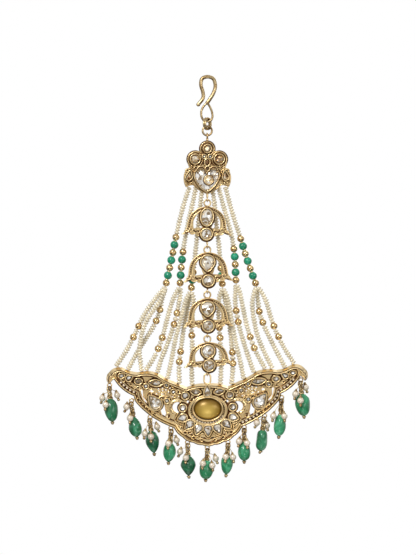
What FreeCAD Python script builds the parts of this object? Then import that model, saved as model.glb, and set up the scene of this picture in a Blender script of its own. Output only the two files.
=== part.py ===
import FreeCAD, Part
import math
import os
from FreeCAD import Placement, Rotation, Vector

# Passa jhoomar: a head ornament that hangs from a hook in the hair.
# Under the hook come two links, an openwork crown plate and a chain of four bell motifs. Six strings
# of seed pearls leave the crown, carry gold and green beads, and fan out into sixteen strings that
# end on a pierced crescent. Eleven drops hang from the crescent.
# Lengths are in millimetres and angles in degrees. +Z is up and the front looks along -Y. The origin
# is the inner top of the hook, where it sits in the hair.

os.makedirs("parts", exist_ok=True)
doc = FreeCAD.newDocument("PassaJhoomar")

# Driving dimensions
SIZES = [
    ("hook_wire", 1.5, "wire of the hook"),
    ("hook_eye_wire", 0.9, "thinner wire of the eye under the hook"),
    ("link_wire", 0.8, "wire of the two links"),
    ("hook_ring_radius", 2.2, "centre line of the double-turn link"),
    ("hook_ring_yaw", 30.0, "turn of the double-turn link out of the plane across the eye"),
    ("crown_ring_radius", 1.85, "centre line of the single link"),
    ("crown_thickness", 1.2, "plate of the crown"),
    ("bell_thickness", 1.0, "plate of a bell motif"),
    ("bell_ring_radius", 1.3, "centre line of the ring soldered on a bell"),
    ("bell_ring_wire", 0.66, "wire of that ring"),
    ("loop_radius", 0.8, "centre line of the small loops under the crown and the bells"),
    ("loop_wire", 0.54, "wire of those loops"),
    ("tray_depth", 3.2, "crescent, from its back to its rim"),
    ("tray_floor", 1.0, "floor plate of the crescent"),
    ("tray_rim", 0.5, "width of the rim of the crescent"),
    ("crescent_tilt", 1.0, "the crescent hangs with its right end a little high"),
    ("crescent_pitch", 6.0, "and leans with its face a little down"),
    ("collet_wall", 0.45, "wall of a stone's collet"),
    ("collet_gap", 0.15, "space between a stone and its collet"),
    ("collet_rise", 1.3, "height of a collet over its plate"),
    ("stone_seat", 0.1, "space between a stone and its plate"),
    ("cabochon_width", 11.0, "oval cabochon"),
    ("cabochon_height", 8.6, "oval cabochon"),
    ("cabochon_dome", 2.7, "rise of the cabochon"),
    ("pearl_string", 2.0, "diameter of a string of seed pearls"),
    ("thread", 0.45, "thread bundle inside the strings"),
    ("string_end_pearl", 2.2, "round pearl at the foot of a string"),
    ("gold_bead", 2.9, "gold ball on a string"),
    ("green_bead", 3.3, "round green bead on a string"),
    ("bead_bore", 0.75, "hole in the beads of the strings"),
    ("drop_wire", 0.3, "wire of the jump ring and loops of a drop"),
    ("drop_pin", 0.24, "wire of the straight pins in a drop"),
    ("drop_ring_radius", 1.05, "centre line of the jump ring of a drop"),
    ("drop_loop_radius", 0.55, "centre line of the loop on the head pin"),
    ("pearl_loop_radius", 0.45, "centre line of the loop on a pearl's pin"),
    ("rim_ring_radius", 0.8, "centre line of the rings soldered under the crescent"),
    ("rim_ring_wire", 0.5, "wire of those rings"),
    ("drop_pearl", 2.6, "pearl of a drop"),
    ("drop_ball", 1.2, "gold ball that ends a pin"),
    ("drop_bore", 0.7, "hole in the pearls and green beads of the drops"),
]
sheet = doc.addObject("Spreadsheet::Sheet", "Sizes")
for row, (alias, number, meaning) in enumerate(SIZES, start=1):
    sheet.set("A%d" % row, alias)
    sheet.set("B%d" % row, str(number))
    sheet.set("C%d" % row, meaning)
    sheet.setAlias("B%d" % row, alias)
doc.recompute()
SIZE = {alias: float(sheet.get(alias)) for alias, number, meaning in SIZES}

# Small clearances that are the same everywhere
LINK_GAP = 0.1
HOOK_RING_LIFT = 0.3
CROWN_RING_LIFT = 0.32
BEAD_GAP = 0.1
FOOT_GAP = 0.15
SOLDER = 0.3

# Heights of the chain, from the hook down to the crescent
HOOK_EYE_Z = -16.75
HOOK_RING_TOP_Z = HOOK_EYE_Z + (SIZE["hook_eye_wire"] + SIZE["link_wire"]) / 2 + LINK_GAP + HOOK_RING_LIFT
HOOK_RING_Z = HOOK_RING_TOP_Z - SIZE["hook_ring_radius"]
HOOK_RING_FOOT_Z = HOOK_RING_Z - SIZE["hook_ring_radius"]
CROWN_RING_TOP_Z = HOOK_RING_FOOT_Z + SIZE["link_wire"] + LINK_GAP + CROWN_RING_LIFT
CROWN_RING_Z = CROWN_RING_TOP_Z - SIZE["crown_ring_radius"]
CROWN_RING_FOOT_Z = CROWN_RING_Z - SIZE["crown_ring_radius"]
CROWN_TOP_Z = -25.0
CRESCENT_TOP_Z = -121.8
CRESCENT_BACK_Y = 1.9

subparts = []


def keep(label, piece):
    """Name a document object as a sub-part of the ornament."""
    piece.Label = label
    subparts.append(piece)
    return piece


def soldered(solids):
    """Solids that touch or overlap, joined into one shape."""
    return solids[0].multiFuse(solids[1:])


def feature(name, shape):
    """A document object that holds a shape made by code."""
    piece = doc.addObject("Part::Feature", name)
    piece.Shape = shape
    return piece


def fused(name, pieces):
    """A boolean union object of the document."""
    union = doc.addObject("Part::MultiFuse", name)
    union.Shapes = pieces
    return union


# Placements: flat shapes are drawn in local XY and stood up so that local Z faces the viewer
UPRIGHT = Rotation(Vector(1, 0, 0), 90)
ACROSS = Rotation(Vector(0, 1, 0), 90)


def stood(x, y, z, turn=0.0):
    """Placement that stands a flat shape up at x, y, z, turned clockwise as seen from the front."""
    return Placement(Vector(x, y, z), Rotation(Vector(0, 1, 0), turn) * UPRIGHT)


def torus(name, centre, rotation, radius_cell, wire_cell):
    """A wire ring whose centre-line radius and wire come from the sheet."""
    ring = doc.addObject("Part::Torus", name)
    ring.setExpression("Radius1", "Sizes." + radius_cell)
    ring.setExpression("Radius2", "Sizes.%s / 2" % wire_cell)
    ring.Placement = Placement(centre, rotation)
    return ring


def rod(start, end, diameter):
    """A straight round rod between two points."""
    along = end - start
    return Part.makeCylinder(diameter / 2, along.Length, start, along)


def wire_ring(centre, normal, radius, wire):
    """A wire ring as a plain shape."""
    return Part.makeTorus(radius, wire / 2, centre, normal)


# Routes: straight runs joined by tangent arcs
ARC_SHARE = 0.45


def route(points):
    """Edges along the points; each arc takes 0.45 of the shorter run beside its corner."""
    corners = [Vector(*point) for point in points]
    edges = []
    last = corners[0]
    radii = []
    for before, corner, after in zip(corners, corners[1:], corners[2:]):
        back = before - corner
        ahead = after - corner
        shorter = min(back.Length, ahead.Length)
        half_turn = (math.pi - back.getAngle(ahead)) / 2
        cut = ARC_SHARE * shorter
        radius = cut / math.tan(half_turn)
        radii.append(radius)
        enter = corner + back.normalize() * cut
        leave = corner + ahead.normalize() * cut
        inward = (back + ahead).normalize()
        middle = corner + inward * radius * (1 / math.cos(half_turn) - 1)
        edges.append(Part.LineSegment(last, enter).toShape())
        edges.append(Part.Arc(enter, middle, leave).toShape())
        last = leave
    edges.append(Part.LineSegment(last, corners[-1]).toShape())
    return edges, min(radii)


def at_length(edges, distance):
    """Point and direction at a distance along a route."""
    for edge in edges:
        if distance <= edge.Length or edge is edges[-1]:
            parameter = edge.getParameterByLength(min(distance, edge.Length))
            return edge.valueAt(parameter), edge.tangentAt(parameter)
        distance -= edge.Length


def route_length(edges):
    return sum(edge.Length for edge in edges)


def length_at_height(edges, height):
    """Distance along a falling route where it passes a height."""
    low = 0.0
    high = route_length(edges)
    while high - low > 0.001:
        middle = (low + high) / 2
        if at_length(edges, middle)[0].z > height:
            low = middle
        else:
            high = middle
    return low


def stretch(edges, start, end):
    """The edges of a route between two distances along it."""
    piece = []
    passed = 0.0
    for edge in edges:
        first = max(start - passed, 0.0)
        second = min(end - passed, edge.Length)
        if second - first > 0.001:
            from_here = edge.getParameterByLength(first)
            to_there = edge.getParameterByLength(second)
            piece.append(edge.Curve.toShape(from_here, to_there))
        passed += edge.Length
    return piece


def tube(edges, diameter):
    """A round solid along a route; its volume is compared with section times length."""
    first = edges[0]
    start = first.valueAt(first.FirstParameter)
    heading = first.tangentAt(first.FirstParameter)
    section = Part.Wire(Part.makeCircle(diameter / 2, start, heading))
    solid = Part.Wire(edges).makePipeShell([section], True, True)
    expected = math.pi * diameter ** 2 / 4 * route_length(edges)
    if abs(solid.Volume / expected - 1) > 0.01:
        raise ValueError("a tube has the wrong volume: %.3f of %.3f" % (solid.Volume, expected))
    return solid


# Outlines: rows of (x, z, bulge); a bulge is how far an arc stands out of its chord
def arcs(rows):
    """A closed chain of lines and arcs through the rows, drawn clockwise as seen from the front."""
    edges = []
    ring = list(rows) + [rows[0]]
    for (x, z, unused), (next_x, next_z, bulge) in zip(ring, ring[1:]):
        start = Vector(x, z, 0)
        end = Vector(next_x, next_z, 0)
        if abs(bulge) < 0.01:
            edges.append(Part.LineSegment(start, end))
            continue
        left = Vector(z - next_z, next_x - x, 0).normalize()
        edges.append(Part.Arc(start, (start + end) / 2 + left * bulge, end))
    return edges


def mirrored(rows):
    """The other half of an outline whose first and last rows lie on the middle line."""
    bulges = [row[2] for row in rows[1:]]
    flipped = [(-x, z) for x, z, bulge in reversed(rows[:-1])]
    return [(x, z, bulge) for (x, z), bulge in zip(flipped, reversed(bulges))]


def whole(half):
    """Rows of a symmetric outline from the rows of its right half."""
    rows = list(half) + mirrored(half)
    first = rows.pop()
    rows[0] = (rows[0][0], rows[0][1], first[2])
    return rows


def other_side(rows):
    """A closed outline that is not on the middle line, mirrored to the left."""
    points = [(-x, z) for x, z, bulge in rows]
    bulges = [bulge for x, z, bulge in rows]
    count = len(rows)
    return [(points[-i][0], points[-i][1], bulges[(1 - i) % count]) for i in range(count)]


# PartDesign helpers
def origin_plane(body, role):
    for plane in body.Origin.OriginFeatures:
        if plane.Role == role:
            return plane


def sketch(body, name, edges, forward=None):
    """A sketch on the body's XZ plane, moved towards the front by a sheet expression."""
    drawing = body.newObject("Sketcher::SketchObject", name)
    drawing.AttachmentSupport = [(origin_plane(body, "XZ_Plane"), "")]
    drawing.MapMode = "FlatFace"
    if forward:
        drawing.setExpression("AttachmentOffset.Base.z", forward)
    drawing.addGeometry(edges, False)
    return drawing


def pad(body, name, edges, thickness, forward=None):
    """A pad towards the front."""
    step = body.newObject("PartDesign::Pad", name)
    step.Profile = sketch(body, name + "_sketch", edges, forward)
    step.setExpression("Length", thickness)
    return step


def pocket(body, name, edges, depth, forward):
    """A pocket from a sketch in front, cut towards the back."""
    step = body.newObject("PartDesign::Pocket", name)
    step.Profile = sketch(body, name + "_sketch", edges, forward)
    step.setExpression("Length", depth)
    return step


# Stones and collets
def outline(kind, width, length):
    """A closed wire in local XY, centred, with its point (if it has one) towards +Y."""
    half_w = width / 2
    half_l = length / 2
    if kind == "round":
        if abs(width - length) < 0.01:
            return Part.Wire(Part.makeCircle(half_w))
        if width > length:
            oval = Part.Ellipse(Vector(0, 0, 0), half_w, half_l)
        else:
            oval = Part.Ellipse(Vector(0, half_l, 0), Vector(half_w, 0, 0), Vector(0, 0, 0))
        return Part.Wire(oval.toShape())
    tip = Vector(0, half_l, 0)
    if kind == "marquise":
        foot = Vector(0, -half_l, 0)
        sides = [Part.Arc(tip, Vector(half_w, 0, 0), foot), Part.Arc(foot, Vector(-half_w, 0, 0), tip)]
    elif kind == "heart":
        foot = Vector(0, -half_l, 0)
        notch = Vector(0, 0.55 * half_l, 0)
        right = Vector(half_w, 0.25 * half_l, 0)
        left = Vector(-half_w, 0.25 * half_l, 0)
        sides = [
            Part.Arc(foot, Vector(-0.68 * half_w, -0.42 * half_l, 0), left),
            Part.Arc(left, Vector(-0.55 * half_w, half_l, 0), notch),
            Part.Arc(notch, Vector(0.55 * half_w, half_l, 0), right),
            Part.Arc(right, Vector(0.68 * half_w, -0.42 * half_l, 0), foot),
        ]
    else:
        belly_y = half_w - half_l
        slope = math.acos(half_w / (length - half_w)) * 0.82
        touch_x = half_w * math.sin(slope)
        touch_y = belly_y + half_w * math.cos(slope)
        right = Vector(touch_x, touch_y, 0)
        left = Vector(-touch_x, touch_y, 0)
        swell = 0.08 * half_w
        sides = [
            Part.Arc(tip, (tip + right) / 2 + Vector(swell, swell / 2, 0), right),
            Part.Arc(right, Vector(0, -half_l, 0), left),
            Part.Arc(left, (tip + left) / 2 + Vector(-swell, swell / 2, 0), tip),
        ]
    return Part.Wire([side.toShape() for side in sides])


STONE_FACETS = {"round": 10, "pear": 12, "marquise": 10, "heart": 16}
TABLE_SHARE = 0.6
CULET_SHARE = 0.5


def cut_stone(kind, width, length, height):
    """A stone with a table, a girdle and a small flat back; local Z rises to the table."""
    facets = STONE_FACETS[kind]
    girdle = outline(kind, width, length).discretize(Number=facets + 1)[:facets]

    def section(share, level):
        points = [Vector(point.x * share, point.y * share, level) for point in girdle]
        return Part.makePolygon(points + points[:1])

    levels = [(CULET_SHARE, 0.0), (1.0, 0.4 * height), (1.0, 0.52 * height), (TABLE_SHARE, height)]
    return Part.makeLoft([section(share, level) for share, level in levels], True, True)


def raised(face, base, top):
    """A flat face in local XY as a solid from base to top."""
    solid = face.extrude(Vector(0, 0, top - base))
    solid.translate(Vector(0, 0, base))
    return solid


def ring_solid(outer_wire, inner_wire, base, top):
    """A standing wall between two closed wires."""
    outer = raised(Part.Face(outer_wire), base, top)
    inner = raised(Part.Face(inner_wire), base - 1, top + 1)
    return outer.cut(inner).Solids[0]


def widened(kind, width, length, distance):
    """The outline of a stone, moved outwards by a distance."""
    if kind == "round":
        return outline(kind, width + 2 * distance, length + 2 * distance)
    return outline(kind, width, length).makeOffset2D(distance)


def collet(kind, width, length, height, base=0.0):
    """A wall round a stone; local Z runs from base to height."""
    gap = SIZE["collet_gap"]
    inner = widened(kind, width, length, gap)
    outer = widened(kind, width, length, gap + SIZE["collet_wall"])
    return ring_solid(outer, inner, base, height)


def collets_and_stones(rows, floor, rise, root):
    """Stand a collet and a stone for each row of (kind, x, z, width, length, turn)."""
    walls = []
    stones = []
    for kind, x, z, width, length, turn in rows:
        wall = collet(kind, width, length, floor + rise, floor - root)
        wall.Placement = stood(x, 0, z, turn)
        walls.append(wall)
        stone = cut_stone(kind, width, length, rise)
        stone.translate(Vector(0, 0, floor + SIZE["stone_seat"]))
        stone.Placement = stood(x, 0, z, turn) * stone.Placement
        stones.append(stone)
    return walls, stones


# Hook
HOOK_POINTS = [
    (-3.6, 0, -10.0), (-1.5, 0, -7.4), (-1.7, 0, -4.9), (-2.7, 0, -2.2), (-2.3, 0, 0.5), (0.1, 0, 1.3),
    (2.6, 0, 0.5), (3.4, 0, -2.6), (2.5, 0, -5.6), (0.0, 0, -9.4),
]
EYE_POINTS = [
    (0.0, 0, -9.3), (-1.5, 0, -10.6), (-2.5, 0, -12.8), (-2.4, 0, -14.9), (-1.3, 0, HOOK_EYE_Z),
    (1.3, 0, HOOK_EYE_Z), (2.2, 0, -15.0), (1.9, 0, -13.0), (1.1, 0, -10.9), (0.0, 0, -9.3),
]


def make_hook():
    crook, crook_radius = route(HOOK_POINTS)
    eye, eye_radius = route(EYE_POINTS)
    print("hook radii", round(crook_radius, 2), round(eye_radius, 2))
    neck = Vector(*EYE_POINTS[0])
    tip = Vector(*HOOK_POINTS[0])
    solid = tube(crook, SIZE["hook_wire"]).multiFuse([
        tube(eye, SIZE["hook_eye_wire"]),
        Part.makeSphere(SIZE["hook_wire"] / 2 + 0.05, neck),
        Part.makeSphere(SIZE["hook_wire"] / 2 + 0.05, tip),
    ])
    keep("hook", feature("Hook", solid))


# Links between the hook and the crown
def make_links():
    yaw = Rotation(Vector(0, 0, 1), -SIZE["hook_ring_yaw"]) * ACROSS
    beside = yaw.multVec(Vector(0, 0, SIZE["link_wire"] * 0.46))
    turns = []
    for name, side in (("first_turn", beside), ("second_turn", -beside)):
        turns.append(torus(name, Vector(0, 0, HOOK_RING_Z) + side, yaw, "hook_ring_radius", "link_wire"))
    keep("hook_ring", fused("HookRing", turns))
    ring = torus("CrownRing", Vector(0, 0, CROWN_RING_Z), UPRIGHT, "crown_ring_radius", "link_wire")
    keep("crown_ring", ring)


# Crown
CROWN_HALF = [
    (0.0, 0.0, 0.0), (2.4, -4.2, 1.35), (7.6, -6.4, 1.35), (6.9, -10.2, 0.4), (9.2, -13.6, 0.5),
    (8.4, -17.9, 0.35), (5.6, -17.1, -0.3), (0.0, -20.7, 0.35),
]
CROWN_STONES = [
    ("round", 0.0, -2.7, 2.6, 2.6, 0.0),
    ("round", -4.8, -6.9, 3.3, 3.3, 0.0),
    ("round", 4.8, -6.9, 3.3, 3.3, 0.0),
    ("pear", -7.2, -13.4, 2.0, 3.4, 10.0),
    ("pear", 7.2, -13.4, 2.0, 3.4, -10.0),
    ("round", -1.2, -5.9, 1.0, 1.0, 0.0),
    ("round", 1.2, -5.9, 1.0, 1.0, 0.0),
    ("marquise", 0.0, -8.2, 1.5, 2.4, 0.0),
    ("round", 0.0, -10.6, 1.0, 1.0, 0.0),
]
HEART_STONE = ("heart", -0.2, -15.4, 9.2, 8.6, 0.0)
HEART_RISE = 1.1


def make_crown():
    half_plate = SIZE["crown_thickness"] / 2
    plate = doc.addObject("PartDesign::Body", "CrownPlate")
    pad(plate, "crown_pad", arcs(whole(CROWN_HALF)), "Sizes.crown_thickness")
    plate.Placement = Placement(Vector(0, half_plate, CROWN_TOP_Z), Rotation())

    place = Placement(Vector(0, half_plate, CROWN_TOP_Z), Rotation())
    floor = SIZE["crown_thickness"]
    walls, stones = collets_and_stones(CROWN_STONES, floor, SIZE["collet_rise"], SOLDER)
    heart_walls, hearts = collets_and_stones([HEART_STONE], floor, HEART_RISE, SOLDER)
    relief = feature("crown_collets", soldered(walls + heart_walls))
    relief.Placement = place

    top_loop_z = CROWN_RING_FOOT_Z + SIZE["link_wire"] / 2 + 0.35 + LINK_GAP
    top_loop = feature("crown_top_loop", wire_ring(Vector(0, 0, top_loop_z - 1.0), Vector(1, 0, 0), 1.0, 0.7))
    top_post = feature("crown_top_post", rod(Vector(0, 0, CROWN_TOP_Z - 1.0), Vector(0, 0, top_loop_z - 2.0), 1.0))
    foot_z = CROWN_TOP_Z + CROWN_HALF[-1][1]
    foot_loop_z = loop_height(BELLS[0][1])
    foot_loop = torus("crown_foot_loop", Vector(0, 0, foot_loop_z), ACROSS, "loop_radius", "loop_wire")
    foot_post = feature("crown_foot_post",
                        rod(Vector(0, 0, foot_z + 1.0), Vector(0, 0, foot_loop_z + SIZE["loop_radius"]), 0.9))
    keep("crown_plate", fused("Crown", [plate, relief, top_loop, top_post, foot_loop, foot_post]))

    small = feature("CrownStones", Part.makeCompound(stones))
    small.Placement = place
    keep("crown_stones", small)
    heart = feature("CrownHeartStone", hearts[0])
    heart.Placement = place.multiply(hearts[0].Placement)
    keep("crown_heart_stone", heart)


# Bells: name, height of the soldered ring's centre, height of the plate's top, stretch of the
# plate's height, tilt in degrees, upper stone (kind, width, length), height of the loop below
BELLS = [
    ("bell_1", -49.4, -51.0, 0.97, 1.4, ("round", 4.4, 6.4)),
    ("bell_2", -68.1, -69.3, 1.0, -2.0, ("pear", 5.0, 5.9)),
    ("bell_3", -86.1, -87.6, 0.98, -1.6, ("pear", 4.8, 5.4)),
    ("bell_4", -103.8, -105.3, 0.81, -4.0, ("pear", 4.6, 4.7)),
]
CRESCENT_RING_TOP_Z = -117.7
BELL_HALF = [
    (0.0, 0.0, 0.0), (6.6, -3.8, 1.0), (7.7, -8.4, 0.2), (9.9, -11.4, -0.4), (6.9, -10.1, 0.3),
    (4.6, -10.8, 0.9), (2.2, -11.2, 0.8), (0.0, -14.0, 0.5),
]
BELL_WINDOW = [(3.0, -2.4, -0.35), (5.3, -5.8, 0.3), (5.2, -8.9, 0.1), (1.9, -8.6, 0.0)]
BELL_UPPER_STONE_Z = -4.2
BELL_LOWER_STONE = ("round", 0.0, -11.2, 3.9, 3.9, 0.0)


def loop_height(ring_z):
    """Centre of a small loop that hangs the next motif by its soldered ring."""
    ring_wire_z = ring_z + SIZE["bell_ring_radius"]
    reach = SIZE["bell_ring_wire"] / 2 + SIZE["loop_wire"] / 2 + LINK_GAP
    return ring_wire_z - reach + SIZE["loop_radius"]


def stretched(rows, share):
    return [(x, z * share, bulge) for x, z, bulge in rows]


def make_bell(index):
    name, ring_z, top_z, share, tilt, (kind, width, length) = BELLS[index]
    floor = SIZE["bell_thickness"]
    half_plate = floor / 2
    plate = doc.addObject("PartDesign::Body", "Body_" + name)
    pad(plate, name + "_pad", arcs(whole(stretched(BELL_HALF, share))), "Sizes.bell_thickness")
    window = stretched(BELL_WINDOW, share)
    pocket(plate, name + "_windows", arcs(window) + arcs(other_side(window)),
           "Sizes.bell_thickness * 2", "Sizes.bell_thickness * 1.5")

    lower_kind, lower_x, lower_z, lower_width, lower_length, lower_turn = BELL_LOWER_STONE
    rows = [
        (kind, 0.0, BELL_UPPER_STONE_Z * share, width, length, 180.0),
        (lower_kind, lower_x, lower_z * share, lower_width, lower_length, lower_turn),
    ]
    walls, stones = collets_and_stones(rows, floor, SIZE["collet_rise"], floor)
    relief = feature(name + "_collets", soldered(walls))

    # The bell swings about its own soldered ring
    if index + 1 < len(BELLS):
        foot_loop_z = loop_height(BELLS[index + 1][1])
    else:
        foot_loop_z = loop_height(CRESCENT_RING_TOP_Z - SIZE["bell_ring_radius"])
    hang = Placement(Vector(0, half_plate, top_z), Rotation())
    swing = Placement(Vector(0, 0, ring_z), Rotation(Vector(0, 1, 0), tilt))
    about_ring = swing * Placement(Vector(0, 0, -ring_z), Rotation())
    for part in (plate, relief):
        part.Placement = about_ring * hang
    ring = torus(name + "_ring", Vector(0, 0, ring_z), UPRIGHT, "bell_ring_radius", "bell_ring_wire")
    loop = torus(name + "_loop", Vector(0, 0, foot_loop_z), ACROSS, "loop_radius", "loop_wire")
    foot = about_ring.multVec(Vector(0, 0, top_z + (BELL_HALF[-1][1] + 0.8) * share))
    post = feature(name + "_post", rod(foot, Vector(0, 0, foot_loop_z + SIZE["loop_radius"]), 0.8))
    neck = feature(name + "_neck", rod(Vector(0, 0, ring_z - SIZE["bell_ring_radius"]),
                                       about_ring.multVec(Vector(0, 0, top_z - 0.5)), 0.9))
    keep(name, fused("Metal_" + name, [plate, relief, ring, loop, post, neck]))
    gems = feature("Stones_" + name, Part.makeCompound(stones))
    gems.Placement = about_ring * hang
    keep(name + "_stones", gems)


# Crescent, in its own frame: x and z from the middle of its top edge, y = 0 at its back
# The rows are (x, z, bulge) of the back edge and the width of the sloping band that runs round it
CRESCENT_HALF = [
    (0.0, 0.2, 0.0, 0.9), (8.2, -1.1, 0.55, 0.9), (12.6, 0.9, -0.05, 0.95), (19.6, 4.7, -0.3, 1.0),
    (27.8, 5.2, 0.7, 1.0), (33.8, 7.2, -0.35, 1.1), (39.2, 5.4, 0.9, 1.4), (40.3, 2.2, 0.5, 1.0),
    (38.9, 1.0, 0.4, 0.3), (37.2, 3.0, -0.3, 0.2), (29.4, -3.9, 0.9, 0.2), (28.7, -6.4, 0.1, 0.2),
    (19.4, -14.3, 0.6, 0.2), (13.6, -17.0, 0.15, 0.2), (10.2, -20.9, 0.45, 0.2),
    (5.9, -23.2, 0.5, 0.2), (2.4, -24.2, 0.3, 0.2), (0.0, -24.8, 0.1, 0.2),
]
TIP_ROWS = (7, 8)
# Gaps cut through the floor, right half
CRESCENT_GAPS = [
    [(25.6, -1.9, 0.0), (27.0, -1.9, 0.2), (26.3, -4.8, 0.1), (24.9, -7.6, 0.1), (24.1, -6.6, 0.1),
     (25.6, -4.6, -0.1)],
    [(21.4, -2.1, 0.2), (22.9, -1.6, 0.2), (23.0, -2.9, 0.2), (21.8, -3.1, 0.2)],
    [(16.9, -3.6, 0.1), (18.6, -3.1, 0.2), (18.9, -4.3, 0.2), (17.6, -4.9, 0.1)],
    [(17.1, -7.9, 0.0), (18.6, -7.2, 0.1), (19.0, -10.6, -0.3), (18.2, -12.9, 0.1), (16.0, -13.2, 0.1),
     (16.7, -10.3, -0.3)],
    [(11.4, -4.3, 0.1), (13.0, -4.6, -0.3), (14.8, -4.2, 0.1), (14.9, -5.5, 0.1), (13.0, -5.0, -0.1),
     (11.3, -5.1, 0.0)],
]
# Small round holes: x, z, radius
CRESCENT_HOLES = [
    (7.9, -7.0, 0.5), (7.8, -13.4, 0.5), (3.2, -16.6, 0.3), (6.6, -19.6, 0.35),
    (18.0, -1.2, 0.3), (16.6, -2.0, 0.3), (19.6, -1.6, 0.3), (17.9, -2.3, 0.3), (19.3, -2.7, 0.3),
    (15.5, -2.9, 0.3), (20.4, -3.5, 0.3), (14.9, -1.4, 0.3),
]
SWIRL_CENTRE = (12.1, -9.0)
SWIRL_HOLE = 2.35
SWIRL_INNER = 2.5
SWIRL_OUTER = 3.7
SWIRL_ANGLES = (-75.0, 105.0)
# Stones of the right half and of the middle: kind, x, z, width, length, turn of the point
TOP_STONE = ("pear", 0.0, -2.3, 2.3, 4.0, 0.0)
TOP_RISE = 0.9
MIDDLE_STONES = [
    ("pear", 0.0, -18.6, 3.0, 4.3, 180.0),
]
SIDE_STONES = [
    ("round", 10.0, -9.3, 2.4, 2.4, 0.0),
    ("marquise", 4.7, -2.9, 1.8, 3.7, 82.0),
    ("round", 8.9, -4.4, 2.4, 2.4, 0.0),
    ("pear", 4.0, -18.0, 2.9, 4.1, 158.0),
    ("pear", 7.6, -16.2, 2.8, 3.9, 138.0),
    ("pear", 10.3, -13.4, 2.7, 3.5, 108.0),
]
WING_STONES = [
    ("marquise", 20.5, 1.0, 2.0, 5.4, 85.0),
    ("round", 13.6, -2.7, 1.4, 1.4, 0.0),
    ("round", 16.3, -6.3, 1.4, 1.4, 0.0),
    ("round", 24.6, -0.2, 1.4, 1.4, 0.0),
    ("round", 16.3, 0.0, 1.1, 1.1, 0.0),
    ("round", 34.3, 4.1, 1.9, 1.4, 0.0),
    ("pear", 31.1, 3.2, 1.9, 2.6, -60.0),
    ("round", 27.5, 1.8, 2.4, 1.8, 0.0),
]
BIG_PEAR = ("pear", 21.3, -6.7, 4.4, 6.4, 38.0)
BIG_PEAR_RISE = 1.7
CABOCHON_CENTRE = (0.0, -9.8)
SURROUND_CENTRE = (0.0, -10.4)
SURROUND_WIDTH = 14.9
SURROUND_HEIGHT = 11.6
SURROUND_WALL = 0.5
# The channel rib runs beside the rim of the wings: a strip of the rim's own shape, kept to this area
CHANNEL_INSET = 1.15
CHANNEL_WIDTH = 0.35
CHANNEL_AREA = [(38.4, 2.6), (36.4, 4.3), (27.0, -0.8), (23.4, -8.2), (12.6, -13.7), (9.6, -17.5), (9.6, -27.0),
                (42.0, -27.0)]


def inset(rows, share=1.0, extra=0.0):
    """Move each point of a closed outline inwards by its own band width."""
    moved = []
    count = len(rows)
    for i, (x, z, bulge, band) in enumerate(rows):
        before = rows[i - 1]
        after = rows[(i + 1) % count]
        along = Vector(after[0] - before[0], after[1] - before[1], 0).normalize()
        distance = band * share + extra
        moved.append((x + along.y * distance, z - along.x * distance, bulge))
    return moved


def crescent_rows(with_tips=True):
    """All rows of the crescent, with band widths; the recess stops short of the tips."""
    half = list(CRESCENT_HALF)
    if not with_tips:
        x, z, bulge, band = half[TIP_ROWS[-1] + 1]
        half[TIP_ROWS[-1] + 1] = (x, z, 0.0, band)
        half = [row for i, row in enumerate(half) if i not in TIP_ROWS]
    flat = whole([(x, z, bulge) for x, z, bulge, band in half])
    bands = [band for x, z, bulge, band in half]
    bands += list(reversed(bands[1:-1]))
    return [(x, z, bulge, band) for (x, z, bulge), band in zip(flat, bands)]


def crescent_place():
    """Where the crescent hangs: tilted about Y and leaning about X."""
    tilt = Rotation(Vector(0, 1, 0), -SIZE["crescent_tilt"])
    pitch = Rotation(Vector(1, 0, 0), SIZE["crescent_pitch"])
    return Placement(Vector(0, CRESCENT_BACK_Y, CRESCENT_TOP_Z), tilt * pitch)


def make_tray():
    """The tray: a floor with a rim and a sloping outer band, and its gaps."""
    rows = crescent_rows()
    tray = doc.addObject("PartDesign::Body", "CrescentTray")
    back = sketch(tray, "tray_back", arcs([row[:3] for row in rows]))
    front = sketch(tray, "tray_front", arcs(inset(rows)), "Sizes.tray_depth")
    block = tray.newObject("PartDesign::AdditiveLoft", "tray_block")
    block.Profile = back
    block.Sections = [front]
    block.Ruled = True
    pocket(tray, "tray_recess", arcs(inset(crescent_rows(False), 1.0, SIZE["tray_rim"])),
           "Sizes.tray_depth - Sizes.tray_floor", "Sizes.tray_depth")
    cuts = []
    for rows in CRESCENT_GAPS:
        cuts += arcs(rows) + arcs(other_side(rows))
    for x, z, radius in CRESCENT_HOLES + [(SWIRL_CENTRE[0], SWIRL_CENTRE[1], SWIRL_HOLE)]:
        for side in (1, -1):
            cuts.append(Part.Circle(Vector(side * x, z, 0), Vector(0, 0, 1), radius))
    pocket(tray, "tray_gaps", cuts, "Sizes.tray_depth", "Sizes.tray_depth")
    return tray


def swirl_sector(side):
    """A raised C round the small stone of a wing, open towards the cabochon."""
    start, end = SWIRL_ANGLES
    ring = []
    for radius, first, last in ((SWIRL_OUTER, start, end), (SWIRL_INNER, end, start)):
        arc_points = []
        for angle in (first, (first + last) / 2, last):
            turn = math.radians(angle)
            arc_points.append(Vector(side * (SWIRL_CENTRE[0] + radius * math.cos(turn)),
                                     SWIRL_CENTRE[1] + radius * math.sin(turn), 0))
        ring.append(Part.Arc(*arc_points).toShape())
    ends = [Part.LineSegment(ring[0].valueAt(ring[0].LastParameter), ring[1].valueAt(ring[1].FirstParameter)),
            Part.LineSegment(ring[1].valueAt(ring[1].LastParameter), ring[0].valueAt(ring[0].FirstParameter))]
    loop = Part.Wire([ring[0], ends[0].toShape(), ring[1], ends[1].toShape()])
    return raised(Part.Face(loop), 0.0, SIZE["tray_floor"] + SIZE["collet_rise"] - 0.2)


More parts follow.
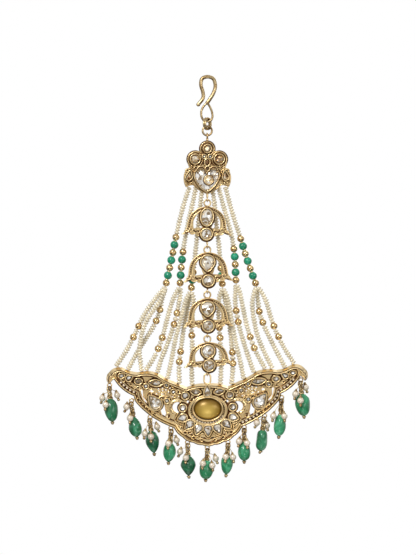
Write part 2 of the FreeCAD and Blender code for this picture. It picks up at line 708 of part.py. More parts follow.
def channel_rib():
    """The rib that makes a pearl channel along the lower rim of both wings."""
    edges = arcs(inset(crescent_rows(False), 1.0, SIZE["tray_rim"]))
    recess = Part.Face(Part.Wire([edge.toShape() for edge in edges]))
    top = SIZE["tray_floor"] + 0.9
    outer = recess.makeOffset2D(-CHANNEL_INSET).OuterWire
    inner = recess.makeOffset2D(-CHANNEL_INSET - CHANNEL_WIDTH).OuterWire
    strip = ring_solid(outer, inner, SIZE["tray_floor"] - SOLDER, top)
    ribs = []
    for side in (1, -1):
        corners = [Vector(side * x, z, 0) for x, z in CHANNEL_AREA]
        area = raised(Part.Face(Part.makePolygon(corners + corners[:1])), 0.0, top + 1)
        ribs += strip.common(area).Solids
    return ribs


def ellipse_wall(centre, width, height, wall, top):
    """A standing oval wall on the crescent."""
    outer = outline("round", width, height)
    inner = outline("round", width - 2 * wall, height - 2 * wall)
    ring = ring_solid(outer, inner, SIZE["tray_floor"] - SOLDER, top)
    ring.translate(Vector(centre[0], centre[1], 0))
    return ring


def mirrored_stones(rows, side):
    return [(kind, side * x, z, width, length, side * turn) for kind, x, z, width, length, turn in rows]


def rim_ring(tray_shape, below, place):
    """A ring soldered under the rim of the crescent, and the ring's centre in the crescent's frame."""
    centre = place.inverse().multVec(below)
    centre.y = -SIZE["tray_depth"] / 2
    distance, pairs, kinds = tray_shape.distToShape(Part.Vertex(centre))
    near = pairs[0][0]
    towards = (near - centre).normalize()
    centre = near - towards * max(distance, SIZE["rim_ring_radius"])
    ring = wire_ring(centre, Vector(0, 1, 0), SIZE["rim_ring_radius"], SIZE["rim_ring_wire"])
    stub = rod(centre + towards * SIZE["rim_ring_radius"] * 0.9, near + towards * SOLDER, SIZE["rim_ring_wire"])
    return [ring, stub], place.multVec(centre)


def make_crescent():
    place = crescent_place()
    tray = make_tray()
    floor = SIZE["tray_floor"]
    rise = SIZE["collet_rise"]
    all_walls = []
    right_left = {}
    groups = {"middle": MIDDLE_STONES + mirrored_stones(SIDE_STONES, 1) + mirrored_stones(SIDE_STONES, -1)}
    for name, side in (("right", 1), ("left", -1)):
        groups[name] = mirrored_stones(WING_STONES, side)
    for name, rows in groups.items():
        walls, stones = collets_and_stones(rows, floor, rise, floor)
        all_walls += walls
        right_left[name] = stones
    walls, stones = collets_and_stones([TOP_STONE], SIZE["tray_depth"], TOP_RISE, SIZE["tray_depth"] - floor)
    all_walls += walls
    right_left["middle"] += stones
    pears = {}
    for name, side in (("right", 1), ("left", -1)):
        walls, stones = collets_and_stones(mirrored_stones([BIG_PEAR], side), floor, BIG_PEAR_RISE, floor)
        all_walls += walls
        pears[name] = stones[0]

    # The posts under the stones in the swirls, which stand in the open swirl holes
    for side in (1, -1):
        kind, x, z, width, length, turn = SIDE_STONES[0]
        post = Part.makeCylinder(width / 2 + SIZE["collet_gap"] + SIZE["collet_wall"], floor, Vector(side * x, 0, z),
                                 Vector(0, -1, 0))
        all_walls.append(post)

    upright = []
    bezel_gap = 2 * (SIZE["collet_gap"] + 0.6)
    upright.append(ellipse_wall(CABOCHON_CENTRE, SIZE["cabochon_width"] + bezel_gap,
                                SIZE["cabochon_height"] + bezel_gap, 0.6, floor + 1.5))
    upright.append(ellipse_wall(SURROUND_CENTRE, SURROUND_WIDTH, SURROUND_HEIGHT, SURROUND_WALL, floor + 1.4))
    for side in (1, -1):
        upright.append(swirl_sector(side))
    upright += channel_rib()
    for shape in upright:
        shape.Placement = stood(0, 0, 0) * shape.Placement

    # Rings under the rim for the drops, and the long ring at the top for the lowest bell
    into_local = place.inverse()
    doc.recompute()
    tray_local = tray.Shape
    rings = [long_ring(into_local)]
    rim_centres = {}
    for name, ring_x, ring_z, bead_x, bead_z, width, height, pearls in DROPS:
        solids, rim_centres[name] = rim_ring(tray_local, Vector(ring_x, DROP_Y, ring_z), place)
        rings += solids
    relief = feature("crescent_relief", soldered(all_walls + upright + rings))
    frame = fused("CrescentFrame", [tray, relief])
    doc.recompute()
    frame.Placement = place
    keep("crescent_frame", frame)

    for name, stones in right_left.items():
        label = "crescent_stones_" + name
        gems = feature(label + "_set", Part.makeCompound(stones))
        gems.Placement = place
        keep(label, gems)
    for name, stone in pears.items():
        label = "crescent_pear_" + name
        gem = feature(label + "_stone", Part.makeCompound([stone]))
        gem.Placement = place
        keep(label, gem)

    dome = doc.addObject("Part::Ellipsoid", "Cabochon")
    dome.setExpression("Radius1", "Sizes.cabochon_dome")
    dome.setExpression("Radius2", "Sizes.cabochon_width / 2")
    dome.setExpression("Radius3", "Sizes.cabochon_height / 2")
    dome.Angle1 = 0
    seat = floor + SIZE["stone_seat"]
    dome.Placement = place * Placement(Vector(CABOCHON_CENTRE[0], -seat, CABOCHON_CENTRE[1]), UPRIGHT)
    keep("crescent_cabochon", dome)
    return frame, rim_centres


def long_ring(into_local):
    """The stretched ring on top of the crescent; its top wire carries the lowest bell."""
    radius = SIZE["bell_ring_radius"]
    top = Vector(0, 0, CRESCENT_RING_TOP_Z)
    foot = Vector(0, 0, CRESCENT_TOP_Z)
    low = foot.z + radius
    high = top.z - radius
    path = [
        Part.LineSegment(Vector(radius, 0, low), Vector(radius, 0, high)).toShape(),
        Part.Arc(Vector(radius, 0, high), top, Vector(-radius, 0, high)).toShape(),
        Part.LineSegment(Vector(-radius, 0, high), Vector(-radius, 0, low)).toShape(),
        Part.Arc(Vector(-radius, 0, low), foot, Vector(radius, 0, low)).toShape(),
    ]
    section = Part.Wire(Part.makeCircle(SIZE["bell_ring_wire"] / 2, Vector(radius, 0, low), Vector(0, 0, 1)))
    ring = Part.Wire(path).makePipeShell([section], True, True)
    ring.Placement = into_local * ring.Placement
    return ring


# Strings: routes are points (x, y, z) chosen by eye; the tails start under the last bead of the group
FAMILIES = [
    ("left_outer",
     [(-7.1, 1.9, -42.9), (-8.6, 2.1, -47.0), (-10.3, 2.3, -53.0), (-12.2, 2.6, -61.0), (-14.0, 2.8, -70.4),
      (-17.1, 2.8, -84.3)],
     -63.0, "GgGgGgG",
     [([(-18.3, 2.2, -84.6), (-21.3, 2.5, -88.2), (-25.6, 2.8, -94.4), (-28.5, 2.6, -101.0), (-32.6, 1.8, -108.9),
        (-35.0, 1.4, -112.4), (-36.0, 1.2, -115.4)], (-98.7, -103.1)),
      ([(-17.1, 4.1, -84.4), (-18.3, 4.4, -88.4), (-19.3, 4.4, -93.8), (-21.5, 4.2, -98.9), (-24.5, 3.8, -103.4),
        (-28.4, 2.4, -109.8), (-31.3, 1.2, -115.6)], (-92.1, -96.6)),
      ([(-17.4, 1.2, -85.4), (-19.8, 1.0, -90.0), (-23.8, 0.9, -95.2), (-26.3, 1.0, -101.2), (-27.3, 0.9, -108.6),
        (-26.4, 1.2, -117.0)], ())]),
    ("left_middle",
     [(-4.5, 1.9, -42.9), (-5.6, 2.1, -48.4), (-7.2, 2.4, -55.0), (-9.0, 2.7, -64.0), (-10.2, 2.8, -72.0),
      (-11.1, 2.8, -84.3)],
     -68.9, "GgGgG",
     [([(-12.4, 2.3, -85.0), (-14.1, 2.2, -88.8), (-16.1, 2.0, -95.8), (-17.9, 1.8, -103.3), (-20.8, 1.5, -110.6),
        (-24.0, 1.2, -117.3)], (-103.3, -107.7)),
      ([(-10.6, 3.6, -85.2), (-11.2, 3.9, -88.4), (-12.1, 3.8, -93.6), (-13.7, 3.6, -99.4), (-16.3, 2.6, -106.8),
        (-18.6, 1.6, -112.2), (-19.7, 1.2, -116.8)], (-93.5, -98.0))]),
    ("left_inner",
     [(-1.9, 1.9, -42.9), (-2.6, 2.1, -48.4), (-3.4, 2.4, -57.0), (-4.4, 2.7, -66.0), (-5.4, 2.8, -75.0),
      (-6.7, 2.8, -86.2)],
     -77.0, "GgG",
     [([(-7.9, 2.6, -86.6), (-9.0, 2.2, -89.4), (-10.6, 1.9, -96.0), (-12.8, 2.2, -103.6), (-14.1, 1.8, -111.2),
        (-15.7, 1.2, -118.8)], ()),
      ([(-6.9, 4.4, -87.0), (-7.8, 5.0, -91.0), (-9.3, 4.9, -98.5), (-10.5, 3.9, -107.0), (-11.4, 2.2, -114.4),
        (-11.2, 1.2, -121.0)], (-108.9, -113.0)),
      ([(-5.5, 2.5, -87.0), (-5.7, 2.5, -90.4), (-6.4, 2.5, -99.0), (-5.9, 2.4, -107.6), (-6.3, 2.0, -114.5),
        (-6.1, 1.2, -121.5)], (-98.2, -102.4))]),
    ("right_inner",
     [(1.9, 1.9, -42.9), (2.8, 2.1, -48.4), (3.5, 2.4, -57.0), (4.6, 2.7, -65.0), (5.2, 2.8, -73.0),
      (6.3, 2.8, -84.8)],
     -75.4, "GgG",
     [([(7.6, 2.6, -85.8), (8.5, 2.3, -89.2), (10.0, 2.0, -97.5), (11.3, 1.9, -105.0), (13.2, 1.6, -112.6),
        (14.4, 1.2, -118.6)], ()),
      ([(6.6, 4.4, -86.0), (7.5, 5.0, -89.6), (8.9, 4.9, -97.5), (9.8, 4.4, -106.0), (10.4, 2.8, -114.0),
        (9.8, 1.2, -121.2)], (-109.2, -113.6)),
      ([(5.1, 2.5, -85.8), (4.5, 2.5, -89.0), (4.5, 2.6, -95.0), (5.1, 2.4, -103.0), (5.7, 2.0, -112.5),
        (5.3, 1.2, -121.2)], (-99.3, -103.3))]),
    ("right_middle",
     [(4.5, 1.9, -42.9), (5.9, 2.1, -48.4), (8.1, 2.4, -56.0), (10.0, 2.7, -63.0), (11.1, 2.8, -71.0),
      (11.6, 2.8, -83.2)],
     -67.7, "GgGgG",
     [([(12.8, 2.4, -84.0), (13.6, 2.2, -87.6), (14.7, 2.0, -93.4), (16.5, 1.8, -101.0), (18.9, 1.5, -108.0),
        (22.6, 1.2, -116.4)], (-103.0, -107.4)),
      ([(11.4, 3.6, -84.2), (11.1, 3.9, -87.2), (11.5, 3.7, -92.4), (12.9, 3.2, -99.4), (15.6, 2.3, -108.6),
        (18.3, 1.2, -116.4)], (-92.5, -97.0))]),
    ("right_outer",
     [(7.3, 1.9, -42.9), (8.9, 2.1, -49.2), (10.7, 2.3, -55.4), (13.2, 2.6, -63.0), (15.9, 2.8, -71.8),
      (20.3, 2.8, -84.2)],
     -63.6, "GgGgGgG",
     [([(21.8, 2.2, -84.9), (23.6, 2.1, -88.5), (25.2, 1.8, -94.4), (27.4, 1.6, -100.6), (30.8, 1.4, -107.4),
        (34.2, 1.2, -114.0)], (-98.6, -102.9)),
      ([(20.0, 4.1, -85.2), (20.4, 4.4, -89.0), (20.9, 4.2, -93.6), (23.2, 3.6, -99.6), (26.8, 2.6, -107.0),
        (30.6, 1.2, -114.4)], (-92.8, -97.2)),
      ([(18.7, 1.5, -85.4), (17.9, 1.3, -89.2), (18.3, 1.3, -94.0), (19.8, 1.2, -102.0), (22.8, 1.1, -109.0),
        (25.6, 1.2, -116.4)], ())]),
]
THREAD_EXIT = 1.9
BEAD_SPACE = {"G": SIZE["gold_bead"] / 2, "g": SIZE["green_bead"] / 2}
BEAD_TOUCH = 0.03


def drilled_ball(name, diameter_cell, bore_cell):
    """A round bead with a hole along Z, used as the pattern for its copies."""
    ball = doc.addObject("Part::Sphere", name + "_ball")
    ball.setExpression("Radius", "Sizes.%s / 2" % diameter_cell)
    bore = doc.addObject("Part::Cylinder", name + "_bore")
    bore.setExpression("Radius", "Sizes.%s / 2" % bore_cell)
    bore.setExpression("Height", "Sizes.%s * 2" % diameter_cell)
    bore.Placement.Base = Vector(0, 0, -SIZE[diameter_cell])
    bead = doc.addObject("Part::Cut", name)
    bead.Base = ball
    bead.Tool = bore
    doc.recompute()
    return bead


def strung(bead, points):
    """Copies of a bead at (point, direction) pairs."""
    copies = []
    for point, heading in points:
        copy = bead.Shape.copy()
        copy.Placement = Placement(point, Rotation(Vector(0, 0, 1), heading))
        copies.append(copy)
    return copies


def foot_on_rim(frame_shape, x, y, z):
    """Centre of a string's end pearl, just above the crescent's metal."""
    clear = SIZE["string_end_pearl"] / 2 + FOOT_GAP
    centre = Vector(x, y, z + 3)
    for step in range(6):
        distance = frame_shape.distToShape(Part.Vertex(centre))[0]
        centre.z -= distance - clear
        if abs(distance - clear) < 0.02:
            break
    return (x, y, centre.z)


def pearl_tubes(edges, start, end, bead_distances):
    """Tubes for the seed pearls between the beads of one string."""
    stops = [start]
    for distance in bead_distances:
        stops += [distance - SIZE["gold_bead"] / 2 - BEAD_GAP / 2, distance + SIZE["gold_bead"] / 2 + BEAD_GAP / 2]
    stops.append(end)
    tubes = []
    for first, last in zip(stops[0::2], stops[1::2]):
        tubes.append(tube(stretch(edges, first, last), SIZE["pearl_string"]))
    return tubes


def make_family(name, upper, group_top, pattern, tails, frame_shape):
    """One upper string with its beads, and the strings that leave its last bead."""
    edges, radius = route(upper)
    radii = [radius]
    first_bead = length_at_height(edges, group_top)
    places = []
    distance = first_bead
    for i, letter in enumerate(pattern):
        if i:
            distance += BEAD_SPACE[pattern[i - 1]] + BEAD_SPACE[letter] + BEAD_TOUCH
        places.append((letter, at_length(edges, distance)))
    beads = {"G": [], "g": []}
    for letter, place in places:
        beads[letter].append(place)
    top_end = first_bead - SIZE["gold_bead"] / 2 - BEAD_GAP / 2
    solids = [tube(stretch(edges, 0, top_end), SIZE["pearl_string"])]
    exit_point, heading = at_length(edges, distance + THREAD_EXIT)
    solids.append(tube(stretch(edges, 0.5, distance + THREAD_EXIT), SIZE["thread"]))
    solids.append(Part.makeSphere(SIZE["thread"] / 2 + 0.02, exit_point))
    for points, bead_heights in tails:
        pearl_radius = SIZE["string_end_pearl"] / 2
        points = points[:-1] + [foot_on_rim(frame_shape, *points[-1])]
        print("foot", name, [round(number, 2) for number in points[-1]])
        start = Vector(*points[0])
        tail, radius = route(points)
        radii.append(radius)
        total = route_length(tail)
        bead_distances = [length_at_height(tail, height) for height in bead_heights]
        beads["G"] += [at_length(tail, distance_down) for distance_down in bead_distances]
        solids.append(rod(exit_point, start, SIZE["thread"]))
        solids.append(Part.makeSphere(SIZE["thread"] / 2 + 0.02, start))
        solids.append(tube(tail, SIZE["thread"]))
        solids += pearl_tubes(tail, 0.0, total, bead_distances)
        solids.append(Part.makeSphere(pearl_radius, Vector(*points[-1])))
    print(name, "smallest radius", round(min(radii), 1))
    keep("string_" + name, feature("String_" + name, solids[0].multiFuse(solids[1:])))
    return beads


def make_strings(frame_shape):
    gold = drilled_ball("GoldBead", "gold_bead", "bead_bore")
    green = drilled_ball("GreenBead", "green_bead", "bead_bore")
    sides = {"left": {"G": [], "g": []}, "right": {"G": [], "g": []}}
    for name, upper, group_top, pattern, tails in FAMILIES:
        beads = make_family(name, upper, group_top, pattern, tails, frame_shape)
        side = sides[name.split("_")[0]]
        for letter in beads:
            side[letter] += beads[letter]
    for side, beads in sides.items():
        keep("gold_beads_" + side, feature("Gold_" + side, Part.makeCompound(strung(gold, beads["G"]))))
        keep("green_beads_" + side, feature("Green_" + side, Part.makeCompound(strung(green, beads["g"]))))


# Drops: name, x and z of the ring on the rim, x and z of the green bead's middle, its width and
# height, and its pearls as (x, z) pairs
DROP_Y = 2.6
DROPS = [
    ("drop_01", -39.1, -122.0, -38.4, -132.2, 5.9, 9.4, [(-42.0, -127.5), (-40.6, -130.0), (-36.1, -126.3)]),
    ("drop_02", -30.3, -128.3, -28.9, -138.9, 5.8, 8.4, [(-32.3, -130.9), (-30.9, -135.4)]),
    ("drop_03", -22.9, -135.0, -21.9, -145.0, 6.1, 9.2, [(-22.5, -142.8), (-25.0, -141.6), (-20.1, -139.0)]),
    ("drop_04", -14.6, -139.5, -15.2, -149.3, 5.7, 7.8, [(-15.6, -145.6), (-12.3, -144.4)]),
    ("drop_05", -7.8, -144.9, -7.6, -154.4, 6.6, 8.6, [(-8.6, -151.3), (-10.9, -149.1)]),
    ("drop_06", 0.0, -147.1, -0.4, -156.2, 6.2, 7.8, [(-1.8, -153.6), (2.0, -154.4), (3.4, -151.8)]),
    ("drop_07", 8.2, -144.9, 7.8, -154.3, 5.5, 7.8, [(7.3, -150.9), (10.3, -151.1)]),
    ("drop_08", 14.8, -139.1, 14.8, -148.7, 5.7, 8.0, [(12.7, -144.8), (15.9, -145.4)]),
    ("drop_09", 22.5, -133.8, 21.8, -144.4, 4.8, 8.6, [(19.8, -137.3), (23.9, -138.5)]),
    ("drop_10", 29.6, -127.0, 29.0, -138.3, 5.2, 8.8, [(26.4, -134.6), (30.8, -134.6)]),
    ("drop_11", 37.4, -119.9, 38.2, -130.1, 6.7, 9.0, [(35.2, -125.8), (37.2, -128.3), (39.4, -123.2)]),
]
BEAD_FLATNESS = 0.85
# Places of the pearl pins on the jump ring, in degrees from its foot, negative towards the front
LOW_FRONT, LOW_BACK, HIGH_FRONT, HIGH_BACK = -40.0, 40.0, -80.0, 80.0
HIGH_PEARL = 2.4
FIRST_DEPTH = {LOW_FRONT: -1.3, LOW_BACK: 1.2, HIGH_FRONT: -1.7, HIGH_BACK: 1.6}
PEARL_UPRIGHT = 0.65


def depth_needed(bead, x, z, y_start, step_sign):
    """Depth at which a pearl at x, z just clears the green bead."""
    clear = SIZE["drop_pearl"] / 2 + 1.5 * BEAD_GAP
    y = y_start
    for step in range(12):
        distance = bead.distToShape(Part.Vertex(Vector(x, y, z)))[0]
        if distance >= clear:
            break
        y += step_sign * max(clear - distance, 0.05)
    return y


def pearl_pin(jump_centre, angle, pearl):
    """A pin from the jump ring through a pearl to its gold ball, and the pearl's own axis."""
    wire = SIZE["drop_wire"]
    turn = math.radians(angle)
    outwards = Vector(0, math.sin(turn), -math.cos(turn))
    radius = SIZE["pearl_loop_radius"]
    loop = jump_centre + outwards * (SIZE["drop_ring_radius"] - wire - LINK_GAP + radius)
    sideways = 0.5 if pearl.x > loop.x else -0.5
    neck = loop + Vector(sideways, outwards.y, outwards.z).normalize() * radius
    axis = ((pearl - neck).normalize() * (1 - PEARL_UPRIGHT) + Vector(0, 0, -PEARL_UPRIGHT)).normalize()
    knee = pearl - axis * (SIZE["drop_pearl"] / 2 + 0.4)
    ball = pearl + axis * (SIZE["drop_pearl"] / 2 + SIZE["drop_ball"] / 2)
    ring = wire_ring(loop, outwards.cross(Vector(1, 0, 0)), radius, wire)
    pin_edges, bend = route([neck, knee, ball])
    joined = ring.multiFuse([
        tube(pin_edges, SIZE["drop_pin"]),
        Part.makeSphere(SIZE["drop_ball"] / 2, ball, axis),
    ])
    return joined, (pearl, axis)


def make_drop(row, pearl_pattern, rim):
    """One drop: a jump ring, a head pin through the green bead, and pins with pearls."""
    name, ring_x, ring_z, bead_x, bead_z, width, height, pearls = row
    wire = SIZE["drop_wire"]
    jump_radius = SIZE["drop_ring_radius"]
    lean = Rotation(Vector(1, 0, 0), SIZE["crescent_pitch"])
    rim_low = rim + lean.multVec(Vector(0, 0, -SIZE["rim_ring_radius"]))
    jump_top = rim_low + Vector(0, 0, SIZE["rim_ring_wire"] / 2 + wire / 2 + LINK_GAP)
    jump_centre = jump_top - Vector(0, 0, jump_radius)
    solids = [wire_ring(jump_centre, Vector(1, 0, 0), jump_radius, wire)]

    loop_radius = SIZE["drop_loop_radius"]
    head = jump_centre - Vector(0, 0, jump_radius - wire - LINK_GAP + loop_radius)
    middle = Vector(bead_x, head.y, bead_z)
    down = (middle - head).normalize()
    ball = middle + down * (height / 2 + SIZE["drop_ball"] / 2)
    pin = rod(head + down * loop_radius, ball, SIZE["drop_pin"])
    solids.append(wire_ring(head, Vector(0, 1, 0), loop_radius, wire).multiFuse([
        pin,
        Part.makeSphere(SIZE["drop_ball"] / 2, ball, down),
    ]))

    stone = doc.addObject("Part::Ellipsoid", "Stone_" + name)
    stone.Radius1 = height / 2
    stone.Radius2 = width / 2
    stone.Radius3 = width / 2 * BEAD_FLATNESS
    stone.Angle1 = -90
    bore = doc.addObject("Part::Cylinder", "Bore_" + name)
    bore.setExpression("Radius", "Sizes.drop_bore / 2")
    bore.Height = 2 * height
    bore.Placement.Base = Vector(0, 0, -height)
    bead = doc.addObject("Part::Cut", "Bead_" + name)
    bead.Base = stone
    bead.Tool = bore
    doc.recompute()
    bead.Placement = Placement(middle, Rotation(Vector(0, 0, -1), down))
    keep(name + "_bead", bead)

    # A pearl over the bead hangs in front of it, and a pearl beside the jump ring hangs from its side
    needs = [(depth_needed(bead.Shape, x, z, middle.y, -1), x, z) for x, z in pearls]
    free = [LOW_FRONT, LOW_BACK, HIGH_FRONT, HIGH_BACK]
    pearl_places = []
    for need, pearl_x, pearl_z in sorted(needs):
        high = pearl_z > jump_centre.z - HIGH_PEARL
        over_bead = need < middle.y - 0.5
        if high:
            order = (HIGH_FRONT, HIGH_BACK, LOW_BACK, LOW_FRONT)
        elif over_bead:
            order = (LOW_FRONT, HIGH_FRONT, HIGH_BACK, LOW_BACK)
        else:
            order = (LOW_BACK, LOW_FRONT, HIGH_BACK, HIGH_FRONT)
        angle = next(choice for choice in order if choice in free)
        free.remove(angle)
        side = -1 if angle < 0 else 1
        pearl_y = depth_needed(bead.Shape, pearl_x, pearl_z, middle.y + FIRST_DEPTH[angle], side)
        joined, place = pearl_pin(jump_centre, angle, Vector(pearl_x, pearl_y, pearl_z))
        solids.append(joined)
        pearl_places.append(place)
    keep(name + "_wires", feature("Wires_" + name, Part.makeCompound(solids)))
    return strung(pearl_pattern, pearl_places)


def make_drops(rim_centres):
    pattern = drilled_ball("DropPearl", "drop_pearl", "drop_bore")
    pearls = {"left": [], "right": []}
    for row in DROPS:
        side = "left" if row[1] < 0 else "right"
        pearls[side] += make_drop(row, pattern, rim_centres[row[0]])
    for side, copies in pearls.items():
        keep("drop_pearls_" + side, feature("Pearls_" + side, Part.makeCompound(copies)))


make_hook()
make_links()
make_crown()
for number in range(len(BELLS)):
    make_bell(number)
crescent, rim_places = make_crescent()
doc.recompute()
make_strings(crescent.Shape)
make_drops(rim_places)
doc.recompute()

# Check every object, then write one file for each sub-part
failed = [item.Name for item in doc.Objects if "Invalid" in item.State or "Error" in item.State]
for piece in subparts:
    if piece.Shape.isNull() or not piece.Shape.isValid():
        failed.append(piece.Label)
if failed:
    raise RuntimeError("these objects failed: " + ", ".join(failed))
for piece in subparts:
    piece.Shape.exportStep("parts/%s.step" % piece.Label)
print(len(subparts), "sub-parts,", sum(len(piece.Shape.Solids) for piece in subparts), "solids")
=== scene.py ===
import math

import bmesh
import bpy
from mathutils import Matrix, Vector


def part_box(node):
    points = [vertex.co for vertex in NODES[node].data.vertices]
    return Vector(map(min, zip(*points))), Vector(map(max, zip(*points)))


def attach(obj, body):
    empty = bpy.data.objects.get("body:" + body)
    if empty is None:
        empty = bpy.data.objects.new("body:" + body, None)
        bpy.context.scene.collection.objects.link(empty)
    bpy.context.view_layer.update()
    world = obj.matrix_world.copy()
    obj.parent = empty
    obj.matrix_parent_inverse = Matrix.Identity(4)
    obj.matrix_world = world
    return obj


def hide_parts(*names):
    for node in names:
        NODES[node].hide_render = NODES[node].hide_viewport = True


bl_info = {
    "name": "Passa jhoomar head ornament",
    "version": (1, 0, 0),
    "blender": (4, 5, 0),
    "location": "3D View > Sidebar > Jhoomar",
    "description": "Dresses the metal, stones, pearl strings and drops of a hanging head ornament",
    "category": "Object",
}

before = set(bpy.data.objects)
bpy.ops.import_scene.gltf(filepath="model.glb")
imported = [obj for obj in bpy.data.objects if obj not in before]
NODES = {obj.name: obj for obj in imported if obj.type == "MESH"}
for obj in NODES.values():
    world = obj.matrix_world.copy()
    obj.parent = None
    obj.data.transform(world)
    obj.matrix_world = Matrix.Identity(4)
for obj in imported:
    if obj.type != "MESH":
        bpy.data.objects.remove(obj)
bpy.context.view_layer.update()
HEAD = "headpiece"
MM = 0.001

# The crescent hangs tilted and leaning; its own frame starts at the middle of its top edge
CRESCENT_TOP = Vector((0.0, 1.9, -121.8))
CRESCENT_TURN = Matrix.Rotation(math.radians(-1.0), 3, "Y") @ Matrix.Rotation(math.radians(6.0), 3, "X")
TRAY_DEPTH = 3.2
TRAY_FLOOR = 1.0
# The CAD outline of the crescent, right half: x, z, bulge of the arc before the point, width of the band
CRESCENT_HALF = [
    (0.0, 0.2, 0.0, 0.9), (8.2, -1.1, 0.55, 0.9), (12.6, 0.9, -0.05, 0.95), (19.6, 4.7, -0.3, 1.0),
    (27.8, 5.2, 0.7, 1.0), (33.8, 7.2, -0.35, 1.1), (39.2, 5.4, 0.9, 1.4), (40.3, 2.2, 0.5, 1.0),
    (38.9, 1.0, 0.4, 0.3), (37.2, 3.0, -0.3, 0.2), (29.4, -3.9, 0.9, 0.2), (28.7, -6.4, 0.1, 0.2),
    (19.4, -14.3, 0.6, 0.2), (13.6, -17.0, 0.15, 0.2), (10.2, -20.9, 0.45, 0.2),
    (5.9, -23.2, 0.5, 0.2), (2.4, -24.2, 0.3, 0.2), (0.0, -24.8, 0.1, 0.2),
]
# Plates of the chain: node, height of the ring they swing on, height of their top, stretch, tilt
BELLS = [
    ("bell_1", -49.4, -51.0, 0.97, 1.4),
    ("bell_2", -68.1, -69.3, 1.0, -2.0),
    ("bell_3", -86.1, -87.6, 0.98, -1.6),
    ("bell_4", -103.8, -105.3, 0.81, -4.0),
]
BELL_HALF = [
    (0.0, 0.0, 0.0), (6.6, -3.8, 1.0), (7.7, -8.4, 0.2), (9.9, -11.4, -0.4), (6.9, -10.1, 0.3),
    (4.6, -10.8, 0.9), (2.2, -11.2, 0.8), (0.0, -14.0, 0.5),
]
CROWN_TOP = -25.0
CROWN_HALF = [
    (0.0, 0.0, 0.0), (2.4, -4.2, 1.35), (7.6, -6.4, 1.35), (6.9, -10.2, 0.4), (9.2, -13.6, 0.5),
    (8.4, -17.9, 0.35), (5.6, -17.1, -0.3), (0.0, -20.7, 0.35),
]
# Strings, as in the CAD: node, upper route, height of the first bead, beads, tails with bead heights
GOLD_BEAD = 2.9
GREEN_BEAD = 3.3
BEAD_TOUCH = 0.03
END_PEARL = 2.2
